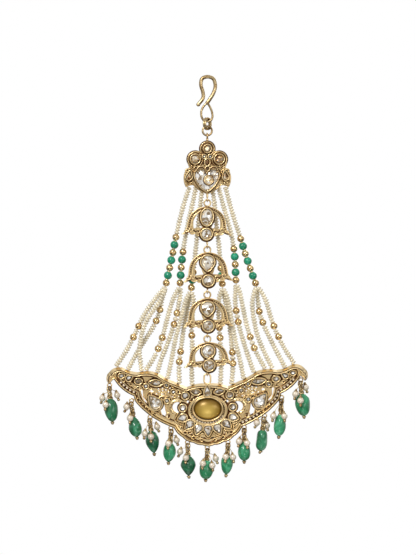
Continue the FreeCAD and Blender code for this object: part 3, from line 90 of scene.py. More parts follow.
# Share of the way to a tail's first point at which its pearls start
TAIL_LEAD = 0.18
BEAD_STEP = (GOLD_BEAD + GREEN_BEAD) / 2 + BEAD_TOUCH
STRINGS = [
    ("string_left_outer",
     [(-7.1, 1.9, -42.9), (-8.6, 2.1, -47.0), (-10.3, 2.3, -53.0), (-12.2, 2.6, -61.0),
      (-14.0, 2.8, -70.4), (-17.1, 2.8, -84.3)],
     -63.0, "GgGgGgG",
     [([(-18.3, 2.2, -84.6), (-21.3, 2.5, -88.2), (-25.6, 2.8, -94.4), (-28.5, 2.6, -101.0),
        (-32.6, 1.8, -108.9), (-35.0, 1.4, -112.4), (-36.0, 1.2, -113.84)], (-98.7, -103.1)),
      ([(-17.1, 4.1, -84.4), (-18.3, 4.4, -88.4), (-19.3, 4.4, -93.8), (-21.5, 4.2, -98.9),
        (-24.5, 3.8, -103.4), (-28.4, 2.4, -109.8), (-31.3, 1.2, -115.08)], (-92.1, -96.6)),
      ([(-17.4, 1.2, -85.4), (-19.8, 1.0, -90.0), (-23.8, 0.9, -95.2), (-26.3, 1.0, -101.2),
        (-27.3, 0.9, -108.6), (-26.4, 1.2, -115.5)], ())]),
    ("string_left_middle",
     [(-4.5, 1.9, -42.9), (-5.6, 2.1, -48.4), (-7.2, 2.4, -55.0), (-9.0, 2.7, -64.0),
      (-10.2, 2.8, -72.0), (-11.1, 2.8, -84.3)],
     -68.9, "GgGgG",
     [([(-12.4, 2.3, -85.0), (-14.1, 2.2, -88.8), (-16.1, 2.0, -95.8), (-17.9, 1.8, -103.3),
        (-20.8, 1.5, -110.6), (-24.0, 1.2, -115.34)], (-103.3, -107.7)),
      ([(-10.6, 3.6, -85.2), (-11.2, 3.9, -88.4), (-12.1, 3.8, -93.6), (-13.7, 3.6, -99.4),
        (-16.3, 2.6, -106.8), (-18.6, 1.6, -112.2), (-19.7, 1.2, -116.14)], (-93.5, -98.0))]),
    ("string_left_inner",
     [(-1.9, 1.9, -42.9), (-2.6, 2.1, -48.4), (-3.4, 2.4, -57.0), (-4.4, 2.7, -66.0),
      (-5.4, 2.8, -75.0), (-6.7, 2.8, -86.2)],
     -77.0, "GgG",
     [([(-7.9, 2.6, -86.6), (-9.0, 2.2, -89.4), (-10.6, 1.9, -96.0), (-12.8, 2.2, -103.6),
        (-14.1, 1.8, -111.2), (-15.7, 1.2, -118.54)], ()),
      ([(-6.9, 4.4, -87.0), (-7.8, 5.0, -91.0), (-9.3, 4.9, -98.5), (-10.5, 3.9, -107.0),
        (-11.4, 2.2, -114.4), (-11.2, 1.2, -120.59)], (-108.9, -113.0)),
      ([(-5.5, 2.5, -87.0), (-5.7, 2.5, -90.4), (-6.4, 2.5, -99.0), (-5.9, 2.4, -107.6),
        (-6.3, 2.0, -114.5), (-6.1, 1.2, -121.13)], (-98.2, -102.4))]),
    ("string_right_inner",
     [(1.9, 1.9, -42.9), (2.8, 2.1, -48.4), (3.5, 2.4, -57.0), (4.6, 2.7, -65.0), (5.2, 2.8, -73.0),
      (6.3, 2.8, -84.8)],
     -75.4, "GgG",
     [([(7.6, 2.6, -85.8), (8.5, 2.3, -89.2), (10.0, 2.0, -97.5), (11.3, 1.9, -105.0),
        (13.2, 1.6, -112.6), (14.4, 1.2, -118.65)], ()),
      ([(6.6, 4.4, -86.0), (7.5, 5.0, -89.6), (8.9, 4.9, -97.5), (9.8, 4.4, -106.0),
        (10.4, 2.8, -114.0), (9.8, 1.2, -120.88)], (-109.2, -113.6)),
      ([(5.1, 2.5, -85.8), (4.5, 2.5, -89.0), (4.5, 2.6, -95.0), (5.1, 2.4, -103.0), (5.7, 2.0, -112.5),
        (5.3, 1.2, -120.74)], (-99.3, -103.3))]),
    ("string_right_middle",
     [(4.5, 1.9, -42.9), (5.9, 2.1, -48.4), (8.1, 2.4, -56.0), (10.0, 2.7, -63.0), (11.1, 2.8, -71.0),
      (11.6, 2.8, -83.2)],
     -67.7, "GgGgG",
     [([(12.8, 2.4, -84.0), (13.6, 2.2, -87.6), (14.7, 2.0, -93.4), (16.5, 1.8, -101.0),
        (18.9, 1.5, -108.0), (22.6, 1.2, -114.62)], (-103.0, -107.4)),
      ([(11.4, 3.6, -84.2), (11.1, 3.9, -87.2), (11.5, 3.7, -92.4), (12.9, 3.2, -99.4),
        (15.6, 2.3, -108.6), (18.3, 1.2, -116.17)], (-92.5, -97.0))]),
    ("string_right_outer",
     [(7.3, 1.9, -42.9), (8.9, 2.1, -49.2), (10.7, 2.3, -55.4), (13.2, 2.6, -63.0), (15.9, 2.8, -71.8),
      (20.3, 2.8, -84.2)],
     -63.6, "GgGgGgG",
     [([(21.8, 2.2, -84.9), (23.6, 2.1, -88.5), (25.2, 1.8, -94.4), (27.4, 1.6, -100.6),
        (30.8, 1.4, -107.4), (34.2, 1.2, -112.65)], (-98.6, -102.9)),
      ([(20.0, 4.1, -85.2), (20.4, 4.4, -89.0), (20.9, 4.2, -93.6), (23.2, 3.6, -99.6),
        (26.8, 2.6, -107.0), (30.6, 1.2, -114.17)], (-92.8, -97.2)),
      ([(18.7, 1.5, -85.4), (17.9, 1.3, -89.2), (18.3, 1.3, -94.0), (19.8, 1.2, -102.0),
        (22.8, 1.1, -109.0), (25.6, 1.2, -114.53)], ())]),
]
ARC_SHARE = 0.45
# Stones as in the CAD: kind, x, z, width, length, degrees clockwise; each side row is mirrored
CRESCENT_MIDDLE = [
    ("pear", 0.0, -18.6, 3.0, 4.3, 180.0),
]
CRESCENT_SIDE = [
    ("round", 10.0, -9.3, 2.4, 2.4, 0.0), ("marquise", 4.7, -2.9, 1.8, 3.7, 82.0),
    ("round", 8.9, -4.4, 2.4, 2.4, 0.0), ("pear", 4.0, -18.0, 2.9, 4.1, 158.0),
    ("pear", 7.6, -16.2, 2.8, 3.9, 138.0), ("pear", 10.3, -13.4, 2.7, 3.5, 108.0),
    ("marquise", 20.5, 1.0, 2.0, 5.4, 85.0), ("round", 13.6, -2.7, 1.4, 1.4, 0.0),
    ("round", 16.3, -6.3, 1.4, 1.4, 0.0), ("round", 24.6, -0.2, 1.4, 1.4, 0.0),
    ("round", 16.3, 0.0, 1.1, 1.1, 0.0), ("round", 34.3, 4.1, 1.9, 1.4, 0.0),
    ("pear", 31.1, 3.2, 1.9, 2.6, -60.0), ("round", 27.5, 1.8, 2.4, 1.8, 0.0),
    ("pear", 21.3, -6.7, 4.4, 6.4, 38.0),
]
# Corners of the openings in the crescent's floor, right half
CRESCENT_GAPS = [
    [(25.6, -1.9), (27.0, -1.9), (26.3, -4.8), (24.9, -7.6), (24.1, -6.6), (25.6, -4.6)],
    [(21.4, -2.1), (22.9, -1.6), (23.0, -2.9), (21.8, -3.1)],
    [(16.9, -3.6), (18.6, -3.1), (18.9, -4.3), (17.6, -4.9)],
    [(17.1, -7.9), (18.6, -7.2), (19.0, -10.6), (18.2, -12.9), (16.0, -13.2), (16.7, -10.3)],
    [(11.4, -4.3), (13.0, -4.6), (14.8, -4.2), (14.9, -5.5), (13.0, -5.0), (11.3, -5.1)],
]
# Pierced holes and blind rings of the crescent's lattice, right half
LATTICE_HOLES = [
    (18.0, -1.2), (16.6, -2.0), (19.6, -1.6), (17.9, -2.3), (19.3, -2.7), (15.5, -2.9), (20.4, -3.5),
    (14.9, -1.4),
]
# From a stone's edge out to the middle of its collet, and to the groove at the collet's foot
COLLET_MIDDLE = 0.37
COLLET_FOOT = COLLET_MIDDLE * 2.3
# Curls of the crescent's openwork, right half: x, z, radius, start and sweep in degrees
CRESCENT_CURLS = [
    (13.0, -5.2, 1.7, -60, 330), (15.6, -12.6, 1.5, 120, -330), (11.6, -2.6, 1.2, 200, 320),
    (17.9, -5.2, 1.3, 40, 320), (23.6, -3.9, 1.4, 100, 320), (6.6, -6.2, 1.0, 150, 300),
    (16.4, -15.2, 1.0, 90, -300), (9.3, -19.5, 1.1, 200, -330), (6.0, -21.6, 0.95, 190, -330),
    (2.7, -22.6, 0.85, 180, -330), (12.2, -16.9, 1.0, 200, -330), (7.2, -19.4, 0.7, 30, 320),
    (3.6, -21.2, 0.7, 20, 320), (10.6, -17.6, 0.7, 40, 320), (27.6, -1.0, 0.8, 40, 320),
    (30.6, 0.4, 0.8, 60, 320), (33.6, 1.9, 0.7, 80, 320), (22.2, -11.0, 0.7, 60, 320),
]
# Raised and dark arcs of the crescent, right half: start, end, bulge, height over the floor, dark
CRESCENT_ARCS = [
    ((8.4, -2.4), (14.6, -0.4), -0.8, 0.5, False), ((26.2, 0.2), (29.9, -2.2), 0.5, 0.6, False),
    ((18.9, -11.6), (24.9, -8.1), -0.5, 0.6, False), ((17.4, -0.6), (23.4, -0.2), -0.6, 0.3, True),
    ((29.4, 1.0), (34.6, 2.9), 0.4, 0.3, True), ((15.2, -4.9), (19.8, -5.2), 0.7, 0.5, False),
]
# Rings of grains round small stones: x, z, radius of the ring
CRESCENT_FLOWERS = [(13.6, -2.7, 1.5), (16.3, -6.3, 1.45), (24.6, -0.2, 1.45)]
FLOWER_GRAINS = 8
# Middle of the cabochon and its fan, and the height below which pearls take over from grains round it
FAN_MIDDLE = (0, -9.8)
PEARLS_BELOW = -12.6
# Stretches of the channel that hold pearls, by x; gold dots lie further out than a distance between them,
# and a smooth band fills the rest
PEARLED_STRETCHES = [(-99.0, -28.5), (25.0, 99.0), (13.0, 21.0)]
DOTS_BEYOND = 21.0
PLAIN_STRETCH = (-21.0, 13.0)
CHANNEL_PITCH = 1.6
FLOWER_GRAIN = 0.6
LATTICE_RINGS = [
    (21.8, -1.1), (22.6, -4.4), (15.6, -0.9), (17.2, -3.4), (26.2, 0.6), (25.6, -0.9), (19.0, -6.0),
    (14.6, -3.9), (20.0, -4.9), (15.2, -7.4),
]
CROWN_STONES = [
    ("round", 0.0, -2.7, 2.6, 2.6, 0.0), ("round", -4.8, -6.9, 3.3, 3.3, 0.0),
    ("round", 4.8, -6.9, 3.3, 3.3, 0.0), ("pear", -7.2, -13.4, 2.0, 3.4, 10.0),
    ("pear", 7.2, -13.4, 2.0, 3.4, -10.0), ("round", -1.2, -5.9, 1.0, 1.0, 0.0),
    ("round", 1.2, -5.9, 1.0, 1.0, 0.0), ("marquise", 0.0, -8.2, 1.5, 2.4, 0.0),
    ("round", 0.0, -10.6, 1.0, 1.0, 0.0), ("heart", -0.2, -15.4, 9.2, 8.6, 0.0),
]
# Relief of the crown: widths of the lobes' outer rims, curls on its right half, and places of its grains
CROWN_LOBES = [(0.0, -2.7, 5.4), (-4.8, -6.9, 5.9), (4.8, -6.9, 5.9)]
CROWN_CURLS = [
    (5.9, -9.8, 1.1, 120, 300), (7.6, -16.8, 1.0, 80, 260), (8.1, -11.6, 0.9, 160, -300),
    (2.6, -6.0, 0.9, 20, 300),
]
CROWN_GRAINS = [
    (0.9, -4.9), (2.5, -5.3), (2.2, -7.4), (1.2, -9.3), (5.2, -11.6), (4.2, -8.9), (8.9, -12.6),
    (5.9, -16.6), (8.7, -15.4), (3.6, -19.0), (1.6, -20.1), (6.8, -10.6), (5.0, -17.6),
]
# The inset stone over the heart: its middle, and the width and depth of its table, girdle and back
INSET_MIDDLE = (0.5, -15.3)
INSET_RINGS = [(1.7, -0.35), (3.2, -0.05), (3.0, 0.15)]
# Stones of a bell: heights of both, width of the lower one, then kind, width and length of each upper one
BELL_UPPER_Z = -4.2
BELL_LOWER_Z = -11.2
BELL_LOWER_WIDTH = 3.9
BELL_UPPER = [("round", 4.4, 6.4), ("pear", 5.0, 5.9), ("pear", 4.8, 5.4), ("pear", 4.6, 4.7)]
# The arch over a bell's leaves, on its plate: x, z, bulge of the arc before the point
BELL_ARCH = [
    (-9.9, -11.4, 0.0), (-7.7, -8.4, -0.4), (-6.6, -3.8, 0.2), (0.0, 0.0, 1.0),
    (6.6, -3.8, 1.0), (7.7, -8.4, 0.2), (9.9, -11.4, -0.4),
]
BELL_CURLS = [(6.3, -9.6, 1.0, 20, 300), (3.4, -10.2, 0.9, 60, 300), (8.2, -10.2, 0.7, 200, -280)]
# Scallops along a bell's foot, from its corner: end of each arc and its bulge
BELL_SCALLOPS = [((6.3, -9.9), 0.3), ((4.6, -10.4), -0.5), ((2.7, -10.6), -0.4)]
# Shape of each tumbled bead: roundness of its upper and lower end (2 is an oval, less is pointed, more is
# a barrel), how far its widest place sits below the middle, and its stone
TUMBLED = [
    (2.0, 2.2, -0.05, "emerald_stone"), (1.7, 1.9, 0.1, "emerald_stone"), (1.9, 1.45, -0.1, "emerald_dark"),
    (2.4, 1.7, -0.15, "emerald_light"), (1.6, 1.4, 0.0, "emerald_dark"), (2.2, 2.3, 0.05, "emerald_light"),
    (2.3, 1.6, -0.1, "emerald_light"), (2.0, 1.9, 0.1, "emerald_light"), (4.5, 3.2, 0.0, "emerald_stone"),
    (2.2, 2.4, 0.0, "emerald_light"), (2.1, 2.0, -0.05, "emerald_light"),
]
# Depth of a drop's bead over its width
DROP_FLATNESS = 0.85
TUMBLED_RINGS = 18
TUMBLED_SIDES = 24
# From the top of a drop's jump ring down to the loop of its head pin
DROP_RING_TO_LOOP = 2.45
# Small links round a head pin: distance below its loop, turn and outer width
DROP_LINKS = [(-1.1, 0.8, 2.7), (-1.1, -0.7, 2.7), (0.7, 0.9, 2.7), (1.5, -0.9, 2.6), (2.5, 0.3, 2.4)]
# Balls over and under a drop's small pearl: height over its middle, and size along and across its pin
PEARL_CAPS = [(1.1, (1.7, 1.7, 0.9)), (1.75, (0.9, 0.9, 0.9)), (-1.3, (1.3, 1.3, 0.5))]
# The wire wound round a head pin: radius, pitch and turn from point to point
NECK_RADIUS = 0.55
NECK_PITCH = 0.42
NECK_TURN = 0.63
# Where the jump ring of each drop hangs
DROP_RING_X = [-39.1, -30.3, -22.9, -14.6, -7.8, 0.0, 8.2, 14.8, 22.5, 29.6, 37.4]
# The cabochon's painted highlight spreads from its middle: height of the middle and reach across and down,
# in metres
CABOCHON_HIGHLIGHT_Z = -0.1335
CABOCHON_HIGHLIGHT_REACH = (0.0075, 0.0062)
# Stage, in metres, apart from the sensor in mm: what the camera takes in, where it stands, the floor
FRAME_HEIGHT = 0.222
CAMERA_DISTANCE = 1.3
CAMERA_X = 0.00028
CAMERA_Z = -0.0792
SENSOR = 24.0
FLOOR_RADIUS = 0.1
FLOOR_Z = -0.35
LIT_POINT = (0, 0, -0.08)
# Lamps: name, place, diameter and power in watts
LAMPS = [
    ("key_light", (-0.35, -0.75, 0.35), 0.25, 4.2),
    ("fill_light", (0.55, -0.7, 0.0), 0.4, 1.2),
    ("low_light", (0.0, -0.6, -0.55), 0.3, 0.6),
    ("back_light", (0.2, 0.8, 0.2), 0.5, 2.0),
]
# Light and dark bands of the room from below to above, as the metal mirrors them
ROOM_BANDS = [
    (0.0, (0.30, 0.27, 0.24)), (0.30, (0.16, 0.14, 0.12)), (0.44, (0.62, 0.60, 0.57)),
    (0.56, (0.95, 0.95, 0.95)), (0.66, (0.22, 0.21, 0.20)), (0.85, (0.95, 0.95, 0.95)),
]
ROOM_STRENGTH = 0.84


# Settings that a user would change
class JhoomarSettings(bpy.types.PropertyGroup):
    gold: bpy.props.FloatVectorProperty(
        name="Gold", description="Colour of the polished metal", subtype="COLOR", size=3,
        default=(1.0, 0.78, 0.43), min=0, max=1)
    # Colour of the patina and of the painted shade in the metal's recesses and grooves
    patina_and_shade: bpy.props.FloatVectorProperty(
        name="Patina", description="Dark tone in the recesses of the metal", subtype="COLOR", size=3,
        default=(0.13, 0.052, 0.016), min=0, max=1)
    emerald: bpy.props.FloatVectorProperty(
        name="Green stone", description="Main tone of the green stones", subtype="COLOR", size=3,
        default=(0.02, 0.20, 0.085), min=0, max=1)
    pearl: bpy.props.FloatVectorProperty(
        name="Pearl", description="Tone of the seed pearls", subtype="COLOR", size=3,
        default=(0.88, 0.80, 0.61), min=0, max=1)
    seed_width: bpy.props.FloatProperty(
        name="Seed pearl width", description="Width of a seed pearl across its string", unit="LENGTH",
        default=2.35 * MM, min=0.5 * MM)
    seed_pitch: bpy.props.FloatProperty(
        name="Seed pearl pitch", description="Distance from one seed pearl to the next", unit="LENGTH",
        default=1.12 * MM, min=0.3 * MM)


def settings():
    return bpy.context.scene.jhoomar


# Materials
MATERIALS = {}


def new_material(name):
    material = bpy.data.materials.new(name)
    material.use_nodes = True
    MATERIALS[name] = material
    return material.node_tree.nodes, material.node_tree.links, material.node_tree.nodes["Principled BSDF"]


def set_inputs(node, values):
    for name, value in values.items():
        node.inputs[name].default_value = value


def colour_ramp(nodes, stops):
    ramp = nodes.new("ShaderNodeValToRGB")
    while len(ramp.color_ramp.elements) < len(stops):
        ramp.color_ramp.elements.new(0.5)
    for element, (position, colour) in zip(ramp.color_ramp.elements, stops):
        element.position = position
        element.color = (*colour, 1.0)
    return ramp


def coloured_by(nodes, links, source, stops, shader):
    """Base colour from a ramp over a source."""
    ramp = colour_ramp(nodes, stops)
    links.new(source, ramp.inputs["Fac"])
    links.new(ramp.outputs["Color"], shader.inputs["Base Color"])


def join(links, *rows):
    """Links from rows of node, output, node, input."""
    for source, output, target, entry in rows:
        links.new(source.outputs[output], target.inputs[entry])


def noise(nodes, links, scale, detail=3.0):
    """Noise on Object coordinates."""
    place = nodes.new("ShaderNodeTexCoord")
    texture = nodes.new("ShaderNodeTexNoise")
    set_inputs(texture, {"Scale": scale, "Detail": detail})
    links.new(place.outputs["Object"], texture.inputs["Vector"])
    return texture


def bump(nodes, links, source, strength, distance, shader):
    surface = nodes.new("ShaderNodeBump")
    set_inputs(surface, {"Strength": strength, "Distance": distance})
    links.new(source, surface.inputs["Height"])
    links.new(surface.outputs["Normal"], shader.inputs["Normal"])


def shade(colour, factor):
    return tuple(min(channel * factor, 1.0) for channel in colour)


def make_gold(name, brightness, wear, roughness):
    """Polished gold that is brown in its recesses from patina and painted shade by occlusion, with slightly
    uneven tone.
    """
    given = settings()
    nodes, links, shader = new_material(name)
    gold = shade(given.gold, brightness)
    # Painted shade: occlusion darkens the gold in its recesses, through a shaded copy of the gold down to
    # the patina colour
    crevice_patina_and_shade = nodes.new("ShaderNodeAmbientOcclusion")
    crevice_patina_and_shade.samples = 8
    crevice_patina_and_shade.inputs["Distance"].default_value = 0.9 * MM
    depth = colour_ramp(nodes, [(0.21, tuple(given.patina_and_shade)), (0.41, shade(gold, 0.72)), (0.60, gold)])
    tone = colour_ramp(nodes, [(0.32, wear), (0.62, (1.0, 1.0, 1.0))])
    mix = nodes.new("ShaderNodeMix")
    mix.data_type = "RGBA"
    mix.blend_type = "MULTIPLY"
    mix.inputs["Factor"].default_value = 1.0
    join(links, (crevice_patina_and_shade, "AO", depth, "Fac"), (noise(nodes, links, 420.0), "Fac", tone, "Fac"),
         (depth, "Color", mix, 6), (tone, "Color", mix, 7), (mix, 2, shader, "Base Color"))
    set_inputs(shader, {"Metallic": 1.0, "Roughness": roughness})
    bump(nodes, links, noise(nodes, links, 900.0, 4.0).outputs["Fac"], 0.25, 0.1 * MM, shader)


def make_patina_and_shade_metal():
    """Dark brown metal of the deepest grooves: their patina, and painted shade and painted shadows in
    creases and under stones.
    """
    patina_and_shade = tuple(settings().patina_and_shade)
    nodes, links, shader = new_material("patina_and_painted_shade")
    stops = [(0.35, shade(patina_and_shade, 0.35)), (0.7, shade(patina_and_shade, 1.5))]
    coloured_by(nodes, links, noise(nodes, links, 700.0).outputs["Fac"], stops, shader)
    set_inputs(shader, {"Metallic": 0.7, "Roughness": 0.45})


def make_green(name, brightness):
    """Marbled translucent green stone."""
    green = shade(settings().emerald, brightness)
    nodes, links, shader = new_material(name)
    veins = noise(nodes, links, 160.0, 6.0)
    veins.inputs["Distortion"].default_value = 1.4
    light = shade((0.06, 0.33, 0.17), brightness)
    vein = shade((0.24, 0.54, 0.36), brightness)
    stops = [(0.30, shade(green, 0.5)), (0.5, green), (0.62, light), (0.76, vein)]
    coloured_by(nodes, links, veins.outputs["Fac"], stops, shader)
    set_inputs(shader, {"Roughness": 0.24, "Coat Weight": 0.3, "Coat Roughness": 0.1,
                        "Subsurface Weight": 0.12, "Subsurface Radius": (0.4 * MM, 1.2 * MM, 0.7 * MM)})
    bump(nodes, links, noise(nodes, links, 500.0, 2.0).outputs["Fac"], 0.3, 0.15 * MM, shader)


def make_round_green():
    """The round beads are a lighter, bluer green."""
    nodes, links, shader = new_material("green_bead")
    stops = [(0.35, (0.0, 0.18, 0.085)), (0.6, (0.0, 0.31, 0.165)), (0.8, (0.04, 0.44, 0.27))]
    coloured_by(nodes, links, noise(nodes, links, 300.0, 4.0).outputs["Fac"], stops, shader)
    set_inputs(shader, {"Roughness": 0.14, "Coat Weight": 0.4})


def make_pearl(name, colour, scale):
    """Glossy pearl with a slightly clouded tone."""
    nodes, links, shader = new_material(name)
    stops = [(0.3, shade(colour, 0.84)), (0.7, shade(colour, 1.06))]
    coloured_by(nodes, links, noise(nodes, links, scale, 2.0).outputs["Fac"], stops, shader)
    set_inputs(shader, {"Roughness": 0.22, "Metallic": 0.2, "Coat Weight": 0.5, "Coat Roughness": 0.08})


def make_cut_stone(name, stops):
    """Cut stone on bright foil: small facets in its depth mirror the light and dark of the room, and the
    same facets paint light and dark reflections into its colour.
    """
    nodes, links, shader = new_material(name)
    place = nodes.new("ShaderNodeTexCoord")
    facets = nodes.new("ShaderNodeTexVoronoi")
    facets.inputs["Scale"].default_value = 950.0
    links.new(place.outputs["Object"], facets.inputs["Vector"])
    grey = nodes.new("ShaderNodeRGBToBW")
    links.new(facets.outputs["Color"], grey.inputs["Color"])
    # Painted reflections: each facet gets a light or dark colour from the ramp
    coloured_by(nodes, links, grey.outputs["Val"], stops, shader)
    surface = nodes.new("ShaderNodeNewGeometry")
    centred, weak, tilted, unit = [nodes.new("ShaderNodeVectorMath") for i in range(4)]
    centred.operation = "SUBTRACT"
    centred.inputs[1].default_value = (0.5, 0.5, 0.5)
    weak.operation = "SCALE"
    weak.inputs["Scale"].default_value = 0.7
    tilted.operation = "ADD"
    unit.operation = "NORMALIZE"
    join(links, (facets, "Color", centred, 0), (centred, "Vector", weak, 0), (surface, "Normal", tilted, 0),
         (weak, "Vector", tilted, 1), (tilted, "Vector", unit, 0), (unit, "Vector", shader, "Normal"))
    set_inputs(shader, {"Metallic": 0.4, "Roughness": 0.1, "Coat Weight": 0.7, "Coat Roughness": 0.02})


def make_cabochon():
    """Golden-olive cabochon with a painted silky highlight that makes it lighter towards its lower middle.
    """
    nodes, links, shader = new_material("golden_cabochon")
    place = nodes.new("ShaderNodeTexCoord")
    centre = nodes.new("ShaderNodeMapping")
    across, down = CABOCHON_HIGHLIGHT_REACH
    set_inputs(centre, {"Location": (0.0, 0.0, -CABOCHON_HIGHLIGHT_Z / down), "Scale": (1 / across, 0.0, 1 / down)})
    links.new(place.outputs["Object"], centre.inputs["Vector"])
    # Painted highlight: a round patch of lighter colour just below the stone's middle
    painted_highlight = nodes.new("ShaderNodeTexGradient")
    painted_highlight.gradient_type = "SPHERICAL"
    links.new(centre.outputs["Vector"], painted_highlight.inputs["Vector"])
    stops = [(0.0, (0.08, 0.034, 0.002)), (0.30, (0.29, 0.165, 0.016)), (0.8, (0.74, 0.51, 0.11))]
    coloured_by(nodes, links, painted_highlight.outputs["Fac"], stops, shader)
    set_inputs(shader, {"Roughness": 0.34, "Metallic": 0.3, "Coat Weight": 0.15, "Coat Roughness": 0.2})


# Shapes
def finished(name, mesh, material, body=HEAD):
    """An object at the origin that rides on a body."""
    piece = bpy.data.objects.new(name, mesh)
    bpy.context.scene.collection.objects.link(piece)
    if not mesh.materials:
        mesh.materials.append(MATERIALS[material])
    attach(piece, body)
    return piece


def smooth(mesh):
    for polygon in mesh.polygons:
        polygon.use_smooth = True


def ball_template(segments=10, rings=6):
    """A ball of unit diameter."""
    mesh = bpy.data.meshes.new("ball")
    shape = bmesh.new()
    bmesh.ops.create_uvsphere(shape, u_segments=segments, v_segments=rings, radius=0.5)
    shape.to_mesh(mesh)
    shape.free()
    smooth(mesh)
    return mesh


def ring_template(thick=0.3, segments=14, around=6):
    """A ring in local XY with an outer diameter of one."""
    mesh = bpy.data.meshes.new("ring")
    radius = (1 - thick) / 2
    points = []
    faces = []
    for i in range(segments):
        turn = 2 * math.pi * i / segments
        for j in range(around):
            roll = 2 * math.pi * j / around
            out = radius + thick / 2 * math.cos(roll)
            points.append((out * math.cos(turn), out * math.sin(turn), thick / 2 * math.sin(roll)))
            a = i * around + j
            b = i * around + (j + 1) % around
            c = ((i + 1) % segments) * around + (j + 1) % around
            d = ((i + 1) % segments) * around + j
            faces.append((a, d, c, b))
    mesh.from_pydata(points, [], faces)
    smooth(mesh)
    return mesh


def scatter_tree(name, template, material):
    """Copies of a template on points, turned and sized by the points' own attributes."""
    tree = bpy.data.node_groups.new(name, "GeometryNodeTree")
    tree.interface.new_socket("Points", in_out="INPUT", socket_type="NodeSocketGeometry")
    size_socket = tree.interface.new_socket("Size factor", in_out="INPUT", socket_type="NodeSocketFloat")
    size_socket.default_value = 1.0
    tree.interface.new_socket("Result", in_out="OUTPUT", socket_type="NodeSocketGeometry")
    nodes = tree.nodes
    group_in = nodes.new("NodeGroupInput")
    group_out = nodes.new("NodeGroupOutput")
    source = nodes.new("GeometryNodeObjectInfo")
    source.inputs["Object"].default_value = template
    turn, size = [nodes.new("GeometryNodeInputNamedAttribute") for i in range(2)]
    for attribute, label in ((turn, "turn"), (size, "size")):
        attribute.data_type = "FLOAT_VECTOR"
        attribute.inputs["Name"].default_value = label
    scale = nodes.new("ShaderNodeVectorMath")
    scale.operation = "SCALE"
    copies = nodes.new("GeometryNodeInstanceOnPoints")
    real = nodes.new("GeometryNodeRealizeInstances")
    finish = nodes.new("GeometryNodeSetMaterial")
    finish.inputs["Material"].default_value = material
    join(tree.links,
         (group_in, "Points", copies, "Points"),
         (source, "Geometry", copies, "Instance"),
         (turn, "Attribute", copies, "Rotation"),
         (size, "Attribute", scale, 0),
         (group_in, "Size factor", scale, "Scale"),
         (scale, "Vector", copies, "Scale"),
         (copies, "Instances", real, "Geometry"),
         (real, "Geometry", finish, "Geometry"),
         (finish, "Geometry", group_out, "Result"))
    return tree, size_socket.identifier


def scatter(name, rows, template_mesh, material, body=HEAD, factor=1.0):
    """One piece made of copies; rows are (place in mm, turn matrix, size vector in mm)."""
    template = bpy.data.objects.new(name + "_template", template_mesh)
    cloud = bpy.data.meshes.new(name + "_points")
    places, turns, sizes = zip(*rows)
    cloud.from_pydata([tuple(Vector(place) * MM) for place in places], [], [])
    for label, values in (("turn", [turn.to_euler() for turn in turns]),
                          ("size", [Vector(size) * MM for size in sizes])):
        attribute = cloud.attributes.new(label, "FLOAT_VECTOR", "POINT")
        attribute.data.foreach_set("vector", [number for value in values for number in value])
    holder = bpy.data.objects.new(name + "_holder", cloud)
    bpy.context.scene.collection.objects.link(holder)
    tree, factor_socket = scatter_tree(name + "_tree", template, MATERIALS[material])
    modifier = holder.modifiers.new("Scatter", "NODES")
    modifier.node_group = tree
    modifier[factor_socket] = factor
    bpy.context.view_layer.update()
    result = holder.evaluated_get(bpy.context.evaluated_depsgraph_get())
    mesh = bpy.data.meshes.new_from_object(result)
    holder.modifiers.remove(modifier)
    bpy.data.objects.remove(holder)
    bpy.data.objects.remove(template)
    bpy.data.node_groups.remove(tree)
    if not len(mesh.polygons):
        raise RuntimeError(name + " came out empty")
    return finished(name, mesh, material, body)


def outward_mesh(name, points, faces):
    """A mesh whose faces all point outwards."""
    mesh = bpy.data.meshes.new(name)
    mesh.from_pydata(points, [], faces)
    shape = bmesh.new()
    shape.from_mesh(mesh)
    bmesh.ops.recalc_face_normals(shape, faces=shape.faces)
    shape.to_mesh(mesh)
    shape.free()
    return mesh


def tube_mesh(name, paths, radius, sides=8):
    """A mesh of round tubes along paths (lists of points in mm); closed when the ends meet."""
    points = []
    faces = []
    for path in paths:
        closed = (path[0] - path[-1]).length < 1e-4
        if closed:
            path = path[:-1]
        count = len(path)
        base = len(points)
        side_hint = Vector((0, 1, 0))
        for i, point in enumerate(path):
            ahead = path[(i + 1) % count] if closed or i + 1 < count else point
            behind = path[i - 1] if closed or i else point
            along = (ahead - behind).normalized()
            if abs(along.dot(side_hint)) > 0.95:
                side_hint = Vector((1, 0, 0))
            side = (side_hint - along * along.dot(side_hint)).normalized()
            side_hint = side
            up = along.cross(side)
            for j in range(sides):
                roll = 2 * math.pi * j / sides
                points.append((point + (side * math.cos(roll) + up * math.sin(roll)) * radius) * MM)
        spans = count if closed else count - 1
        for i in range(spans):
            for j in range(sides):
                a = base + i * sides + j
                b = base + i * sides + (j + 1) % sides
                c = base + ((i + 1) % count) * sides + (j + 1) % sides
                d = base + ((i + 1) % count) * sides + j
                faces.append((a, b, c, d))
        if not closed:
            faces.append(tuple(base + j for j in reversed(range(sides))))
            faces.append(tuple(base + (count - 1) * sides + j for j in range(sides)))
    mesh = outward_mesh(name, points, faces)
    smooth(mesh)
    return mesh


def layered(name, rings):
    """A closed mesh through rings of equally many points, in mm, with flat faces."""
    points = [point * MM for ring in rings for point in ring]
    count = len(rings[0])
    faces = [tuple(range(count)), tuple(reversed(range(len(points) - count, len(points))))]
    for level in range(len(rings) - 1):
        for i in range(count):
            a = level * count + i
            b = level * count + (i + 1) % count
            faces.append((a, a + count, b + count, b))
    return outward_mesh(name, points, faces)


